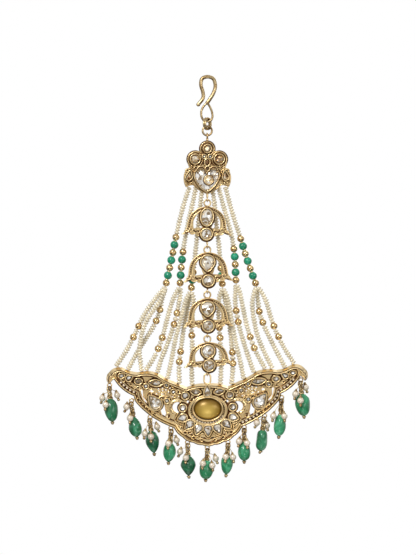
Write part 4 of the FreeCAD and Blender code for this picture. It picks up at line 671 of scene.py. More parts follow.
def tumbled(name, middle, down, half_width, half_length, upper, lower, sag, material):
    """A tumbled bead: an uneven turned shape along its bore, flatter from front to back."""
    turn = facing(down)
    points = []
    faces = []
    for i in range(1, TUMBLED_RINGS):
        t = -math.cos(math.pi * i / TUMBLED_RINGS)
        place = (t - sag) / (1 - sag) if t > sag else (t - sag) / (1 + sag)
        power = lower if t > sag else upper
        reach = (1 - abs(place) ** power) ** (0.5 + 0.3 * max(2 - power, 0))
        for j in range(TUMBLED_SIDES):
            around = 2 * math.pi * j / TUMBLED_SIDES
            wobble = 1 + 0.035 * math.sin(2 * around + 3 * t + middle.x)
            wobble += 0.025 * math.sin(3 * around - 4 * t)
            across = 1.06 * half_width * reach * wobble
            depth = DROP_FLATNESS * across * math.sin(around)
            local = Vector((across * math.cos(around), depth, t * half_length))
            points.append((middle + turn @ local) * MM)
    for i in range(TUMBLED_RINGS - 2):
        for j in range(TUMBLED_SIDES):
            a = i * TUMBLED_SIDES + j
            b = i * TUMBLED_SIDES + (j + 1) % TUMBLED_SIDES
            faces.append((a, b, b + TUMBLED_SIDES, a + TUMBLED_SIDES))
    for first, t in ((0, -1), (len(points) - TUMBLED_SIDES, 1)):
        pole = len(points)
        points.append((middle + turn @ Vector((0, 0, t * half_length))) * MM)
        faces += [(first + j, first + (j + 1) % TUMBLED_SIDES, pole) for j in range(TUMBLED_SIDES)]
    mesh = outward_mesh(name, points, faces)
    smooth(mesh)
    return finished(name, mesh, material)


def pearl_centres(mesh):
    """Centres in mm of the separate balls of a mesh."""
    shape = bmesh.new()
    shape.from_mesh(mesh)
    bmesh.ops.remove_doubles(shape, verts=shape.verts, dist=0.002 * MM)
    unseen = set(shape.verts)
    centres = []
    while unseen:
        island = [unseen.pop()]
        for vertex in island:
            for edge in vertex.link_edges:
                other = edge.other_vert(vertex)
                if other in unseen:
                    unseen.remove(other)
                    island.append(other)
        centres.append(Vector([(min(v.co[i] for v in island) + max(v.co[i] for v in island)) / 2 / MM
                               for i in range(3)]))
    shape.free()
    return sorted(centres, key=tuple)


def wires(name, paths, radius, material="antique_gold", sides=8, body=HEAD):
    return finished(name, tube_mesh(name, paths, radius, sides), material, body)


# Routes of the strings, as in the CAD: straight runs joined by tangent arcs
def route(points, step=0.25):
    """Dense points along a route."""
    corners = [Vector(point) for point in points]
    dense = [corners[0]]
    for before, corner, after in zip(corners, corners[1:], corners[2:]):
        back = before - corner
        ahead = after - corner
        cut = ARC_SHARE * min(back.length, ahead.length)
        enter = corner + back.normalized() * cut
        leave = corner + ahead.normalized() * cut
        dense.append(enter)
        count = max(int(2 * cut / step), 3)
        for i in range(1, count + 1):
            share = i / count
            dense.append(enter * (1 - share) ** 2 + corner * 2 * share * (1 - share) + leave * share ** 2)
    dense.append(corners[-1])
    return dense


def measured(path):
    """Distances along a path."""
    lengths = [0.0]
    for a, b in zip(path, path[1:]):
        lengths.append(lengths[-1] + (b - a).length)
    return lengths


def at_length(path, lengths, distance):
    """Point and direction at a distance along a path."""
    low = 0
    high = len(lengths) - 2
    while low < high:
        middle = (low + high) // 2
        if lengths[middle + 1] < distance:
            low = middle + 1
        else:
            high = middle
    span = max(lengths[low + 1] - lengths[low], 1e-9)
    share = min(max((distance - lengths[low]) / span, 0.0), 1.0)
    a, b = path[low], path[low + 1]
    return a.lerp(b, share), (b - a).normalized()


def length_at_height(path, lengths, height):
    for i, point in enumerate(path):
        if point.z <= height:
            return lengths[i]
    return lengths[-1]


def facing(direction):
    """A turn that takes local Z to a direction."""
    return Vector(direction).to_track_quat("Z", "Y").to_matrix()


def uneven(index, amount):
    """A small repeatable offset."""
    return amount * math.sin(index * 12.9898 + 4.1)


def pearls_between(path, lengths, start, end, width, pitch):
    """Seed pearls that fill a stretch of a string."""
    count = max(int(round((end - start) / pitch)), 1)
    pitch = (end - start) / count
    rows = []
    for i in range(count):
        point, heading = at_length(path, lengths, start + (i + 0.5) * pitch)
        lean = Vector((uneven(i, 0.10), uneven(i + 7, 0.08), 0))
        across = width * (0.95 + uneven(i * 3 + len(lengths), 0.05))
        rows.append((point, facing(heading + lean), (across, across, pitch * 1.08)))
    return rows


# Outlines
def arc_points(start, end, bulge, step):
    """Points of an arc after its start; the bulge stands to the left of the way."""
    chord = end - start
    length = chord.length
    if abs(bulge) < 0.01:
        count = max(int(length / step), 1)
        return [start.lerp(end, i / count) for i in range(1, count + 1)]
    left = Vector((-chord.y, chord.x)).normalized()
    radius = (length ** 2 / 4 + bulge ** 2) / (2 * abs(bulge))
    centre = (start + end) / 2 + left * (bulge - math.copysign(radius, bulge))
    first = math.atan2(start.y - centre.y, start.x - centre.x)
    last = math.atan2(end.y - centre.y, end.x - centre.x)
    sweep = (last - first + math.pi) % (2 * math.pi) - math.pi
    count = max(int(abs(sweep) * radius / step), 2)
    result = []
    for i in range(1, count + 1):
        turn = first + sweep * i / count
        result.append(centre + Vector((math.cos(turn), math.sin(turn))) * radius)
    return result


def whole(half):
    """Closed outline rows from the rows of the right half."""
    left = [(-row[0],) + tuple(row[1:]) for row in reversed(half[:-1])]
    bulges = [row[2] for row in reversed(half[1:])]
    rows = list(half) + [row[:2] + (bulge,) + tuple(row[3:]) for row, bulge in zip(left, bulges)]
    last = rows.pop()
    rows[0] = rows[0][:2] + (last[2],) + tuple(rows[0][3:])
    return rows


def dense_outline(rows, step=0.3):
    """Closed list of 2D points along outline rows."""
    points = [Vector(rows[0][:2])]
    for row, after in zip(rows, rows[1:] + rows[:1]):
        points += arc_points(Vector(row[:2]), Vector(after[:2]), after[2], step)
    return points


def inset(rows, extra):
    """Outline rows moved inwards by their own band and an extra distance."""
    moved = []
    count = len(rows)
    for i, (x, z, bulge, band) in enumerate(rows):
        before = rows[i - 1]
        after = rows[(i + 1) % count]
        along = Vector((after[0] - before[0], after[1] - before[1])).normalized()
        distance = band + extra
        moved.append((x + along.y * distance, z - along.x * distance, bulge, band))
    return moved


def spaced(points, pitch):
    """Points at an even pitch along a list of 2D points."""
    lengths = measured(points)
    count = max(int(lengths[-1] / pitch), 1)
    result = []
    index = 0
    for i in range(count):
        distance = (i + 0.5) * lengths[-1] / count
        while index < len(lengths) - 2 and lengths[index + 1] < distance:
            index += 1
        share = (distance - lengths[index]) / max(lengths[index + 1] - lengths[index], 1e-9)
        result.append(points[index].lerp(points[index + 1], share))
    return result


def curl(x, z, radius, start, sweep, steps=14, tighten=0.55):
    """A spiral scroll of 2D points that tightens inwards; angles in degrees."""
    points = []
    for i in range(steps + 1):
        share = i / steps
        turn = math.radians(start + sweep * share)
        reach = radius * (1 - tighten * share)
        points.append(Vector((x + reach * math.cos(turn), z + reach * math.sin(turn))))
    return points


def ellipse(x, z, width, height, steps=64):
    """Closed list of 2D points; the last one is the first again."""
    turns = [2 * math.pi * i / steps for i in range(steps + 1)]
    return [Vector((x + width / 2 * math.cos(turn), z + height / 2 * math.sin(turn))) for turn in turns]


def arc_through(start, middle, end, steps=8):
    """Points from the start of an arc through a middle point up to, but without, its end."""
    ax, ay = middle - start
    bx, by = end - start
    double = 2 * (ax * by - ay * bx)
    if abs(double) < 1e-6:
        return [start.lerp(end, i / steps) for i in range(steps)]
    a_square = ax * ax + ay * ay
    b_square = bx * bx + by * by
    across = (by * a_square - ay * b_square) / double
    upwards = (ax * b_square - bx * a_square) / double
    centre = start + Vector((across, upwards))
    angles = [math.atan2(point.y - centre.y, point.x - centre.x) for point in (start, middle, end)]
    first = (angles[1] - angles[0]) % (2 * math.pi)
    sweep = (angles[2] - angles[0]) % (2 * math.pi)
    if first > sweep:
        sweep -= 2 * math.pi
    radius = (start - centre).length
    turns = [angles[0] + sweep * i / steps for i in range(steps)]
    return [centre + radius * Vector((math.cos(turn), math.sin(turn))) for turn in turns]


def stone_edge(kind, x, z, width, length, turn, grow=0.0):
    """Closed outline of a stone, grown outwards."""
    half_w = width / 2 + grow
    half_l = length / 2 + grow
    tip = Vector((0, half_l))
    foot = Vector((0, -half_l))
    if kind == "round":
        points = ellipse(0, 0, 2 * half_w, 2 * half_l, 28)[:-1]
    elif kind == "marquise":
        points = arc_through(tip, Vector((half_w, 0)), foot, 12)
        points += arc_through(foot, Vector((-half_w, 0)), tip, 12)
    elif kind == "heart":
        notch = Vector((0, 0.55 * half_l))
        right = Vector((half_w, 0.25 * half_l))
        left = Vector((-half_w, 0.25 * half_l))
        points = (arc_through(foot, Vector((-0.68 * half_w, -0.42 * half_l)), left, 10)
                  + arc_through(left, Vector((-0.55 * half_w, half_l)), notch, 12)
                  + arc_through(notch, Vector((0.55 * half_w, half_l)), right, 12)
                  + arc_through(right, Vector((0.68 * half_w, -0.42 * half_l)), foot, 10))
    else:
        slope = math.acos(half_w / (2 * half_l - half_w)) * 0.82
        touch = Vector((half_w * math.sin(slope), half_w - half_l + half_w * math.cos(slope)))
        opposite = Vector((-touch.x, touch.y))
        points = (arc_through(tip, (tip + touch) / 2 + Vector((0.08, 0.04)) * half_w, touch, 8)
                  + arc_through(touch, foot, opposite, 20)
                  + arc_through(opposite, (tip + opposite) / 2 + Vector((-0.08, 0.04)) * half_w, tip, 8))
    lean = math.radians(turn)
    points.append(points[0])
    return [Vector((x + point.x * math.cos(lean) + point.y * math.sin(lean),
                    z - point.x * math.sin(lean) + point.y * math.cos(lean))) for point in points]


def both_sides(rows):
    """Stone rows with their mirror images."""
    return list(rows) + [(kind, -x, z, width, length, -turn) for kind, x, z, width, length, turn in rows]


def runs(points, wanted):
    """The stretches of a list of points where a condition holds."""
    found = []
    current = []
    for point in points:
        if wanted(point):
            current.append(point)
        elif current:
            found.append(current)
            current = []
    if current:
        found.append(current)
    return [run for run in found if len(run) > 2]


def laid(place, points, height):
    """A path of 2D points put in place at one height."""
    return [place(point, height) for point in points]


def mirrored(points, side, rise=0.0):
    """2D points on the right (1) or the left (-1), lifted by a rise."""
    return [Vector((side * point.x, point.y + rise)) for point in points]


def set_stones(rows, place, top, floor):
    """Paths of a rounded rim on every collet and of the dark groove at its foot, which stands for patina and
    painted shade in the crease.
    """
    rims = [laid(place, stone_edge(*row, COLLET_MIDDLE), top) for row in rows]
    grooves = [laid(place, stone_edge(*row, COLLET_FOOT), floor) for row in rows]
    return rims, grooves


def on_crescent(point, height):
    """A point of the crescent's own frame, height in front of its back, in the row frame."""
    return CRESCENT_TOP + CRESCENT_TURN @ Vector((point[0], -height, point[1]))


def on_bell(index, point, y):
    """A point of a bell's plate in the row frame."""
    ring_z, top_z, share, tilt = BELLS[index][1:]
    local = Vector((point[0], y, top_z + point[1] * share - ring_z))
    return Matrix.Rotation(math.radians(tilt), 3, "Y") @ local + Vector((0, 0, ring_z))


FRONT = facing((0, -1, 0))
# Middle line of the row of grains and pearls round the cabochon
SURROUND = ellipse(0.0, -10.4, 13.5, 10.4)


def grains_at(points, place, height, size, spin=FRONT):
    """Rows for round grains on 2D points."""
    return [(place(point, height), spin, (size, size, size)) for point in points]


def small_balls(name, rows, material="antique_gold"):
    return scatter(name, rows, ball_template(8, 5), material)


# Pieces
class JHOOMAR_OT_metal_and_stones(bpy.types.Operator):
    """Gives the CAD nodes their finishes."""
    bl_idname = "jhoomar.metal_and_stones"
    bl_label = "Metal and stones"

    def execute(self, context):
        given = settings()
        make_gold("antique_gold", 1.0, (0.93, 0.88, 0.80), 0.28)
        make_gold("crown_gold", 0.84, (0.74, 0.64, 0.52), 0.28)
        make_gold("worn_gold", 0.62, (0.50, 0.38, 0.27), 0.30)
        make_gold("bead_gold", 0.88, (0.70, 0.56, 0.42), 0.13)
        make_green("emerald_stone", 0.95)
        make_green("emerald_dark", 0.7)
        make_green("emerald_light", 1.35)
        make_round_green()
        make_pearl("seed_pearl", tuple(given.pearl), 260.0)
        make_pearl("pink_pearl", (0.86, 0.76, 0.62), 200.0)
        # Colours of the stones' facets, from dark to bright: foil tones and painted reflections
        make_cut_stone("clear_stone", [(0.28, (0.36, 0.26, 0.15)), (0.38, (0.80, 0.72, 0.58)),
                                       (0.50, (0.95, 0.93, 0.88)), (0.72, (1.0, 1.0, 0.98))])
        make_cut_stone("champagne_stone", [(0.30, (0.24, 0.12, 0.05)), (0.42, (0.62, 0.42, 0.20)),
                                           (0.56, (0.88, 0.70, 0.42)), (0.72, (1.0, 0.95, 0.85))])
        make_patina_and_shade_metal()
        make_cabochon()
        for name, node in NODES.items():
            if name.startswith("green_beads"):
                material = "green_bead"
            elif name.startswith("drop_") and name.endswith("_bead"):
                material = "emerald_stone"
            elif name.startswith("drop_pearls"):
                material = "pink_pearl"
            elif "cabochon" in name:
                material = "golden_cabochon"
            elif name == "crown_stones":
                material = "champagne_stone"
            elif "stone" in name or "pear_" in name:
                material = "clear_stone"
            elif name == "crown_plate" or name.startswith("bell_"):
                material = "crown_gold"
            elif name.startswith("gold_beads"):
                material = "bead_gold"
            elif name in ("hook", "hook_ring", "crown_ring") or name.startswith("drop_"):
                material = "worn_gold"
            else:
                material = "antique_gold"
            for slot in node.material_slots:
                slot.material = MATERIALS[material]
        return {"FINISHED"}


class JHOOMAR_OT_strings(bpy.types.Operator):
    """Strings of seed pearls on their threads, in place of the plain CAD tubes."""
    bl_idname = "jhoomar.strings"
    bl_label = "Pearl strings"

    def execute(self, context):
        given = settings()
        width = given.seed_width / MM
        pitch = given.seed_pitch / MM
        template = ball_template(10, 6)
        for node, upper, group_top, pattern, tails in STRINGS:
            threads = []
            path = route(upper)
            lengths = measured(path)
            distance = length_at_height(path, lengths, group_top)
            rows = pearls_between(path, lengths, 0.0, distance - GOLD_BEAD / 2, width, pitch)
            exit_at = distance + (len(pattern) - 1) * BEAD_STEP + GOLD_BEAD / 2
            exit_point = at_length(path, lengths, exit_at)[0]
            before = [point for point, so_far in zip(path, lengths) if so_far < exit_at]
            threads.append(before + [exit_point])
            for points, bead_heights in tails:
                lead = exit_point + (Vector(points[0]) - exit_point) * TAIL_LEAD
                tail = route([lead] + [tuple(point) for point in points])
                tail.append(tail[-1] + (tail[-1] - tail[-2]).normalized() * END_PEARL / 2)
                tail_lengths = measured(tail)
                stops = [0.0]
                for height in bead_heights:
                    centre = length_at_height(tail, tail_lengths, height)
                    stops += [centre - GOLD_BEAD / 2, centre + GOLD_BEAD / 2]
                stops.append(tail_lengths[-1])
                threads.append([exit_point] + tail)
                for start, end in zip(stops[0::2], stops[1::2]):
                    rows += pearls_between(tail, tail_lengths, start, end, width, pitch)
            piece = scatter(node + "_pearls", rows, template, "seed_pearl")
            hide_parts(node)
            wires(node + "_threads", threads, 0.2, "seed_pearl", 6)
        return {"FINISHED"}


class JHOOMAR_OT_bead_caps(bpy.types.Operator):
    """Little collars where the beads of a string meet."""
    bl_idname = "jhoomar.bead_caps"
    bl_label = "Bead collars"

    def execute(self, context):
        rows = []
        template = ring_template(0.25)
        for row in STRINGS:
            upper, group_top, pattern = row[1:4]
            path = route(upper)
            lengths = measured(path)
            distance = length_at_height(path, lengths, group_top)
            for letter in pattern[1:]:
                distance += BEAD_STEP
                offset = GREEN_BEAD / 2 if letter == "g" else GOLD_BEAD / 2
                point, heading = at_length(path, lengths, distance - offset)
                rows.append((point, facing(heading), (1.6, 1.6, 1.6)))
        scatter("bead_collars", rows, template, "antique_gold")
        return {"FINISHED"}


class JHOOMAR_OT_crown(bpy.types.Operator):
    """Rims, scrolls and grains of the crown, and the small stone set on its heart."""
    bl_idname = "jhoomar.crown"
    bl_label = "Crown relief"

    def execute(self, context):
        def on_crown(point, y):
            return Vector((point[0], y, CROWN_TOP + point[1]))

        def add(paths, points, y):
            paths.append(laid(on_crown, points, y))

        rims, grooves = set_stones(CROWN_STONES, on_crown, -1.9, -0.7)
        add(rims, dense_outline(whole(CROWN_HALF), 0.35), -0.62)
        for x, z, width in CROWN_LOBES:
            add(rims, ellipse(x, z, width, width, 30), -0.8)
            add(grooves, ellipse(x, z, width + 0.9, width + 0.9, 30), -0.62)
        for side in (-1, 1):
            for row in CROWN_CURLS:
                add(rims, mirrored(curl(*row), side), -0.85)
            add(rims, mirrored(ellipse(7.2, -13.6, 3.7, 6.0, 28), side), -0.8)
            # The two dark curls that lie over the heart's shoulders
            brow = curl(2.7, -11.9, 1.9, 215, -265, 18, 0.35)
            add(grooves, mirrored(brow, side), -3.0)
            add(rims, mirrored(brow, side, 0.5), -2.9)
        heart_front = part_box("crown_heart_stone")[0][1] / MM
        add(rims, ellipse(*INSET_MIDDLE, 3.5, 3.5, 28), heart_front)
        add(grooves, ellipse(*INSET_MIDDLE, 4.1, 4.1, 28), heart_front)
        wires("crown_wires", rims, 0.27, "crown_gold")
        wires("crown_grooves", grooves, 0.2, "patina_and_painted_shade")
        rings = [laid(on_crown, ellipse(*INSET_MIDDLE, width, width, 8)[:-1], heart_front + depth)
                 for width, depth in INSET_RINGS]
        finished("crown_inset_stone", layered("inset", rings), "champagne_stone")
        points = [Vector((side * x, z)) for side in (-1, 1) for x, z in CROWN_GRAINS]
        grains = grains_at(points, on_crown, -0.85, 0.75)
        small_balls("crown_grains", grains, "crown_gold")
        return {"FINISHED"}


class JHOOMAR_OT_bells(bpy.types.Operator):
    """Rims, leaves and grains of the four bells."""
    bl_idname = "jhoomar.bells"
    bl_label = "Bell relief"

    def execute(self, context):
        arch = dense_outline(BELL_ARCH, 0.35)
        turning = max(range(len(arch)), key=lambda i: arch[i].x)
        arch = arch[:turning + 1]
        outline = dense_outline(whole(BELL_HALF), 0.35)
        inner = [Vector((point.x * 0.83, point.y * 0.83 - 1.2)) for point in arch]
        between = [Vector((point.x * 0.92, point.y * 0.92 - 0.55)) for point in arch]
        scallops = [Vector((8.9, -11.0))]
        for end, bulge in BELL_SCALLOPS:
            scallops += arc_points(scallops[-1], Vector(end), bulge, 0.4)
        for index, bell in enumerate(BELLS):
            name = bell[0]
            share = bell[3]

            def on_this(point, y):
                return on_bell(index, point, y)

            def on_plate(point, y):
                return on_bell(index, (point[0], point[1] / share), y)

            kind, width, length = BELL_UPPER[index]
            turn = 0.0 if kind == "round" else 180.0
            lower = ("round", 0.0, BELL_LOWER_Z * share, BELL_LOWER_WIDTH, BELL_LOWER_WIDTH, 0.0)
            upper = (kind, 0.0, BELL_UPPER_Z * share, width, length, turn)
            rims, grooves = set_stones([upper, lower], on_plate, -1.8, -0.6)
            rims.append(laid(on_this, outline, -0.5))
            rims.append(laid(on_this, inner, -0.62))
            grooves.append(laid(on_this, between, -0.5))
            for side in (-1, 1):
                for row in BELL_CURLS:
                    rims.append(laid(on_this, mirrored(curl(*row), side), -0.7))
                grooves.append(laid(on_this, mirrored(scallops[1:], side), -0.55))
            # A painted shadow: a dark arc under the lower stone
            below = [point for point in stone_edge(*lower, 1.0) if point.y < lower[2] - 0.4]
            grooves.append(laid(on_plate, below, -0.7))
            wires(name + "_wires", rims, 0.25)
            wires(name + "_grooves", grooves, 0.27, "patina_and_painted_shade")
            points = [point for point in spaced(between, 0.85) if abs(point.x) > 2.5]
            grains = grains_at(points, on_this, -0.72, 0.46)
            small_balls(name + "_grains", grains)
        return {"FINISHED"}


class JHOOMAR_OT_crescent(bpy.types.Operator):
    """Rims, scrolls, channel pearls and grains of the crescent."""
    bl_idname = "jhoomar.crescent"
    bl_label = "Crescent relief"

    def execute(self, context):
        rows = whole(CRESCENT_HALF)
        stones = CRESCENT_MIDDLE + both_sides(CRESCENT_SIDE)
        rims, grooves = set_stones(stones, on_crescent, 2.3, TRAY_FLOOR + 0.1)
        def add(paths, points, height):
            paths.append(laid(on_crescent, points, height))

        add(rims, dense_outline(inset(rows, 0.25), 0.35), TRAY_DEPTH)
        swirls = []
        fine = [laid(on_crescent, dense_outline(inset(rows, -0.15), 0.35), TRAY_DEPTH)]
        for points in runs(dense_outline(inset(rows, 1.0), 0.35), lambda point: abs(point.x) < 36):
            add(grooves, points, TRAY_FLOOR + 0.1)
        # Rims of the cabochon's surround, with a deep dark line below it that is painted shadow
        add(rims, ellipse(0, -10.4, 15.4, 12.1), 2.4)
        add(rims, ellipse(*FAN_MIDDLE, 12.0, 9.6), 2.5)
        add(grooves, SURROUND, TRAY_FLOOR + 0.25)
        for grow in (16.4, 17.0):
            add(grooves, ellipse(0, -10.5, grow, grow - 3.3), TRAY_FLOOR + 0.1)
        # The outer half of a second rim round each stone of the fan, and a dark line along it that is a
        # painted shadow beneath the stone
        for row in stones:
            kind, x, z = row[:3]
            if kind != "pear" or z > -12:
                continue
            middle = Vector((x, z))
            away = (middle - Vector(FAN_MIDDLE)).normalized()
            for points in runs(stone_edge(*row, 1.35), lambda point: (point - middle).dot(away) > 0.2):
                add(rims, points, TRAY_FLOOR + 0.5)
            for points in runs(stone_edge(*row, 1.0), lambda point: (point - middle).dot(away) > 0.0):
                add(grooves, points, TRAY_FLOOR + 0.2)
        for side in (-1, 1):
            def put(points, height, paths=rims):
                add(paths, mirrored(points, side), height)

            put(curl(12.1, -9.0, 2.8, -75, 200, 24, 0.0), 1.55, swirls)
            for x, z, radius, start, sweep in CRESCENT_CURLS:
                put(curl(x, z, radius, start, sweep), TRAY_FLOOR + 0.45)
                put(ellipse(x, z, radius * 0.6, radius * 0.6, 10), TRAY_FLOOR + 0.1, grooves)
            for gap in CRESCENT_GAPS:
                corners = [Vector(corner) for corner in gap]
                put(corners + corners[:1], TRAY_FLOOR + 0.15)
            for start, end, bulge, height, dark in CRESCENT_ARCS:
                arc = arc_points(Vector(start), Vector(end), bulge, 0.4)
                put(arc, TRAY_FLOOR + height, grooves if dark else rims)
        wires("crescent_wires", rims, 0.26)
        wires("crescent_rim_lines", fine, 0.14, "patina_and_painted_shade")
        wires("crescent_swirls", swirls, 0.8, sides=12)
        wires("crescent_grooves", grooves, 0.25, "patina_and_painted_shade")

        above = [point for point in spaced(SURROUND, 0.85) if point.y > PEARLS_BELOW]
        grains = grains_at(above, on_crescent, TRAY_FLOOR + 0.6, 0.55)
        pits = []
        for side in (-1, 1):
            for point in mirrored(spaced(curl(12.1, -9.0, 2.8, -65, 180, 24, 0.0), 1.15), side):
                pits.append((on_crescent(point, 2.25), FRONT, (0.5, 0.5, 0.35)))
            for x, z, reach in CRESCENT_FLOWERS:
                turns = [2 * math.pi * i / FLOWER_GRAINS for i in range(FLOWER_GRAINS)]
                spots = [(side * (x + reach * math.cos(turn)), z + reach * math.sin(turn)) for turn in turns]
                grains += grains_at(spots, on_crescent, TRAY_FLOOR + 0.6, FLOWER_GRAIN)
        small_balls("crescent_grains", grains)
        small_balls("crescent_pits", pits, "patina_and_painted_shade")

        lattice = []
        facing_viewer = CRESCENT_TURN @ FRONT
        for side in (-1, 1):
            for places, size in ((LATTICE_HOLES, 1.3), (LATTICE_RINGS, 1.15)):
                spots = [(side * x, z) for x, z in places]
                lattice += grains_at(spots, on_crescent, TRAY_FLOOR + 0.1, size, facing_viewer)
        scatter("crescent_lattice", lattice, ring_template(0.27), "antique_gold")

        no_tips = [row for i, row in enumerate(CRESCENT_HALF) if i not in (7, 8)]
        no_tips[7] = no_tips[7][:2] + (0.0,) + no_tips[7][3:]
        channel = dense_outline(inset(whole(no_tips), 1.1), 0.3)

        def in_channel(point):
            on_wing = abs(point.x) < 35.5 and point.y < min(1.6, abs(point.x) * 0.75 - 22.5)
            return abs(point.x) > 9.9 and (on_wing or abs(point.x) < 14 and point.y < -14)

        def at_foot(point):
            return abs(point.x) < 9 and point.y < -19

        def is_pearled(point):
            return in_channel(point) and any(low < point.x < high for low, high in PEARLED_STRETCHES)

        def is_dotted(point):
            return in_channel(point) and not is_pearled(point) and abs(point.x) > DOTS_BEYOND

        def is_plain(point):
            return in_channel(point) and PLAIN_STRETCH[0] < point.x < PLAIN_STRETCH[1]

        lines = []
        for points in runs(dense_outline(inset(whole(no_tips), 2.25), 0.3), in_channel):
            add(lines, points, TRAY_FLOOR + 0.1)
        for points in runs(dense_outline(inset(rows, 2.4), 0.3), at_foot):
            add(lines, points, TRAY_FLOOR + 0.1)
        wires("crescent_rib_lines", lines, 0.24, "patina_and_painted_shade")

        places = spaced(channel, CHANNEL_PITCH)
        pearls = grains_at(filter(is_pearled, places), on_crescent, TRAY_FLOOR + 0.6, 1.05)
        dots = grains_at(filter(is_dotted, places), on_crescent, TRAY_FLOOR + 0.5, 0.8)
        beds = [laid(on_crescent, points, TRAY_FLOOR + 0.1) for points in runs(channel, is_pearled)]
        wires("crescent_pearl_beds", beds, 0.5, "patina_and_painted_shade", sides=10)
        bands = [laid(on_crescent, points, TRAY_FLOOR + 0.55) for points in runs(channel, is_plain)]
        small_balls("crescent_channel_dots", dots)
        wires("crescent_plain_band", bands, 0.62, sides=12)
        below = [point for point in spaced(SURROUND, 1.1) if point.y <= PEARLS_BELOW]
        pearls += grains_at(below, on_crescent, TRAY_FLOOR + 0.7, 0.85)
        scatter("crescent_pearls", pearls, ball_template(10, 6), "pink_pearl")
        # Known fault: this has the paths and the radius of crescent_pearl_beds
        wires("crescent_channel", beds, 0.5, "patina_and_painted_shade")
        return {"FINISHED"}


class JHOOMAR_OT_drops(bpy.types.Operator):
    """Tumbled beads, wound necks, links and caps of the eleven drops."""
    bl_idname = "jhoomar.drops"
    bl_label = "Drops"

    def execute(self, context):
        coils = []
        caps = []
        links = []
        for number, ring_x in enumerate(DROP_RING_X, 1):
            bead_low, bead_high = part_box("drop_%02d_bead" % number)
            wires_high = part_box("drop_%02d_wires" % number)[1]
            middle = (Vector(bead_low) + Vector(bead_high)) / 2 / MM
            head = Vector((ring_x, middle.y, wires_high[2] / MM - DROP_RING_TO_LOOP))
            down = (middle - head).normalized()
            half_height = (bead_high[2] - bead_low[2]) / 2 / MM
            top = middle - down * half_height
            start = head + down * 0.7
            turn = facing(down)
            length = (top - start).length
            steps = max(int(length / NECK_PITCH) * 10, 20)
            coil = []
            for i in range(steps + 1):
                roll = i * NECK_TURN
                beside = Vector((NECK_RADIUS * math.cos(roll), NECK_RADIUS * math.sin(roll), 0))
                coil.append(start + down * (length * i / steps) + turn @ beside)
            coils.append(coil)
            caps.append((top + down * 0.1, turn, (2.1, 2.1, 0.9)))
            for step, lean, size in DROP_LINKS:
                lying = Matrix.Rotation(lean, 3, "Z") @ Matrix.Rotation(1.25, 3, "X")
                links.append((head + down * step, lying, (size, size, size)))
            caps.append((start, turn, (1.5, 1.5, 0.8)))
            half_width = (bead_high[0] - bead_low[0]) / 2 / MM
            bead = tumbled("drop_%02d_stone" % number, middle, down, half_width, (middle - top).length,
                           *TUMBLED[number - 1])
            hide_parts("drop_%02d_bead" % number)
            end = middle + down * half_height
            caps.append((end + down * 0.25, turn, (1.7, 1.7, 0.8)))
        for side in ("left", "right"):
            for centre in pearl_centres(NODES["drop_pearls_" + side].data):
                ring_x = min(DROP_RING_X, key=lambda x: abs(x - centre.x))
                lean = Vector((ring_x - centre.x, 0, 4.5)).normalized()
                upright = (lean * 0.4 + Vector((0, 0, 0.6))).normalized()
                for rise, size in PEARL_CAPS:
                    caps.append((centre + upright * rise, facing(upright), size))
        wires("drop_necks", coils, 0.23, "worn_gold", sides=6)
        scatter("drop_links", links, ring_template(0.26), "worn_gold")
        scatter("drop_caps", caps, ball_template(12, 6), "worn_gold")
        return {"FINISHED"}


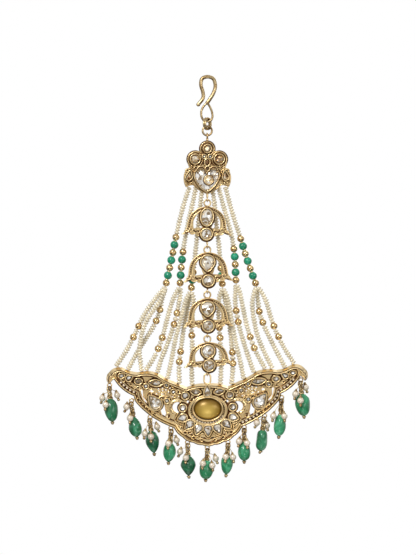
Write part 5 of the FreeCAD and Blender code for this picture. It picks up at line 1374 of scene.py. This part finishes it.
class JHOOMAR_OT_stage(bpy.types.Operator):
    """Camera, light and a plain white surrounding."""
    bl_idname = "jhoomar.stage"
    bl_label = "Stage"

    def execute(self, context):
        scene = bpy.context.scene
        camera_data = bpy.data.cameras.new("camera")
        camera_data.sensor_fit = "VERTICAL"
        camera_data.sensor_height = SENSOR
        camera_data.lens = SENSOR * CAMERA_DISTANCE / FRAME_HEIGHT
        camera = bpy.data.objects.new("camera", camera_data)
        camera.location = (CAMERA_X, -CAMERA_DISTANCE, CAMERA_Z)
        camera.rotation_euler = (math.pi / 2, 0, 0)
        scene.collection.objects.link(camera)
        scene.camera = camera

        shader = new_material("pale_floor")[2]
        set_inputs(shader, {"Base Color": (0.9, 0.9, 0.89, 1.0), "Roughness": 0.8})
        disc = bpy.data.meshes.new("floor")
        shape = bmesh.new()
        bmesh.ops.create_circle(shape, cap_ends=True, segments=64, radius=FLOOR_RADIUS,
                                matrix=Matrix.Translation((0, 0, FLOOR_Z)))
        shape.to_mesh(disc)
        shape.free()
        disc.materials.append(MATERIALS["pale_floor"])
        floor = bpy.data.objects.new("floor", disc)
        scene.collection.objects.link(floor)

        world = bpy.data.worlds.new("room")
        scene.world = world
        world.use_nodes = True
        nodes = world.node_tree.nodes
        nodes.clear()
        out = nodes.new("ShaderNodeOutputWorld")
        plain = nodes.new("ShaderNodeBackground")
        set_inputs(plain, {"Color": (1, 1, 1, 1), "Strength": 1.0})
        room = nodes.new("ShaderNodeBackground")
        room.inputs["Strength"].default_value = ROOM_STRENGTH
        place = nodes.new("ShaderNodeTexCoord")
        split = nodes.new("ShaderNodeSeparateXYZ")
        lift = nodes.new("ShaderNodeMapRange")
        lift.inputs["From Min"].default_value = -1.0
        ramp = colour_ramp(nodes, ROOM_BANDS)
        rays = nodes.new("ShaderNodeLightPath")
        choose = nodes.new("ShaderNodeMixShader")
        join(world.node_tree.links,
             (place, "Generated", split, "Vector"),
             (split, "Z", lift, "Value"),
             (lift, "Result", ramp, "Fac"),
             (ramp, "Color", room, "Color"),
             (rays, "Is Camera Ray", choose, "Fac"),
             (room, "Background", choose, 1),
             (plain, "Background", choose, 2),
             (choose, "Shader", out, "Surface"))

        for name, place_at, size, power in LAMPS:
            data = bpy.data.lights.new(name, "AREA")
            data.shape = "DISK"
            data.size = size
            data.energy = power
            lamp = bpy.data.objects.new(name, data)
            lamp.location = place_at
            lamp.rotation_euler = (Vector(LIT_POINT) - Vector(place_at)).to_track_quat("-Z", "Y").to_euler()
            scene.collection.objects.link(lamp)
        scene.view_settings.view_transform = "Standard"
        return {"FINISHED"}


OPERATORS = (
    JHOOMAR_OT_metal_and_stones,
    JHOOMAR_OT_strings,
    JHOOMAR_OT_bead_caps,
    JHOOMAR_OT_crown,
    JHOOMAR_OT_bells,
    JHOOMAR_OT_crescent,
    JHOOMAR_OT_drops,
    JHOOMAR_OT_stage,
)


class JHOOMAR_PT_panel(bpy.types.Panel):
    """Sizes, colours and pieces of the ornament."""
    bl_label = "Jhoomar"
    bl_idname = "JHOOMAR_PT_panel"
    bl_space_type = "VIEW_3D"
    bl_region_type = "UI"
    bl_category = "Jhoomar"

    def draw(self, context):
        for name in ("gold", "patina_and_shade", "emerald", "pearl", "seed_width", "seed_pitch"):
            self.layout.prop(context.scene.jhoomar, name)
        for operator in OPERATORS:
            self.layout.operator(operator.bl_idname)


CLASSES = (JhoomarSettings,) + OPERATORS + (JHOOMAR_PT_panel,)


def register():
    for item in CLASSES:
        bpy.utils.register_class(item)
    bpy.types.Scene.jhoomar = bpy.props.PointerProperty(type=JhoomarSettings)


def unregister():
    del bpy.types.Scene.jhoomar
    for item in reversed(CLASSES):
        bpy.utils.unregister_class(item)


def main():
    register()
    for operator in OPERATORS:
        group, name = operator.bl_idname.split(".")
        getattr(getattr(bpy.ops, group), name)()


if __name__ == "__main__":
    main()
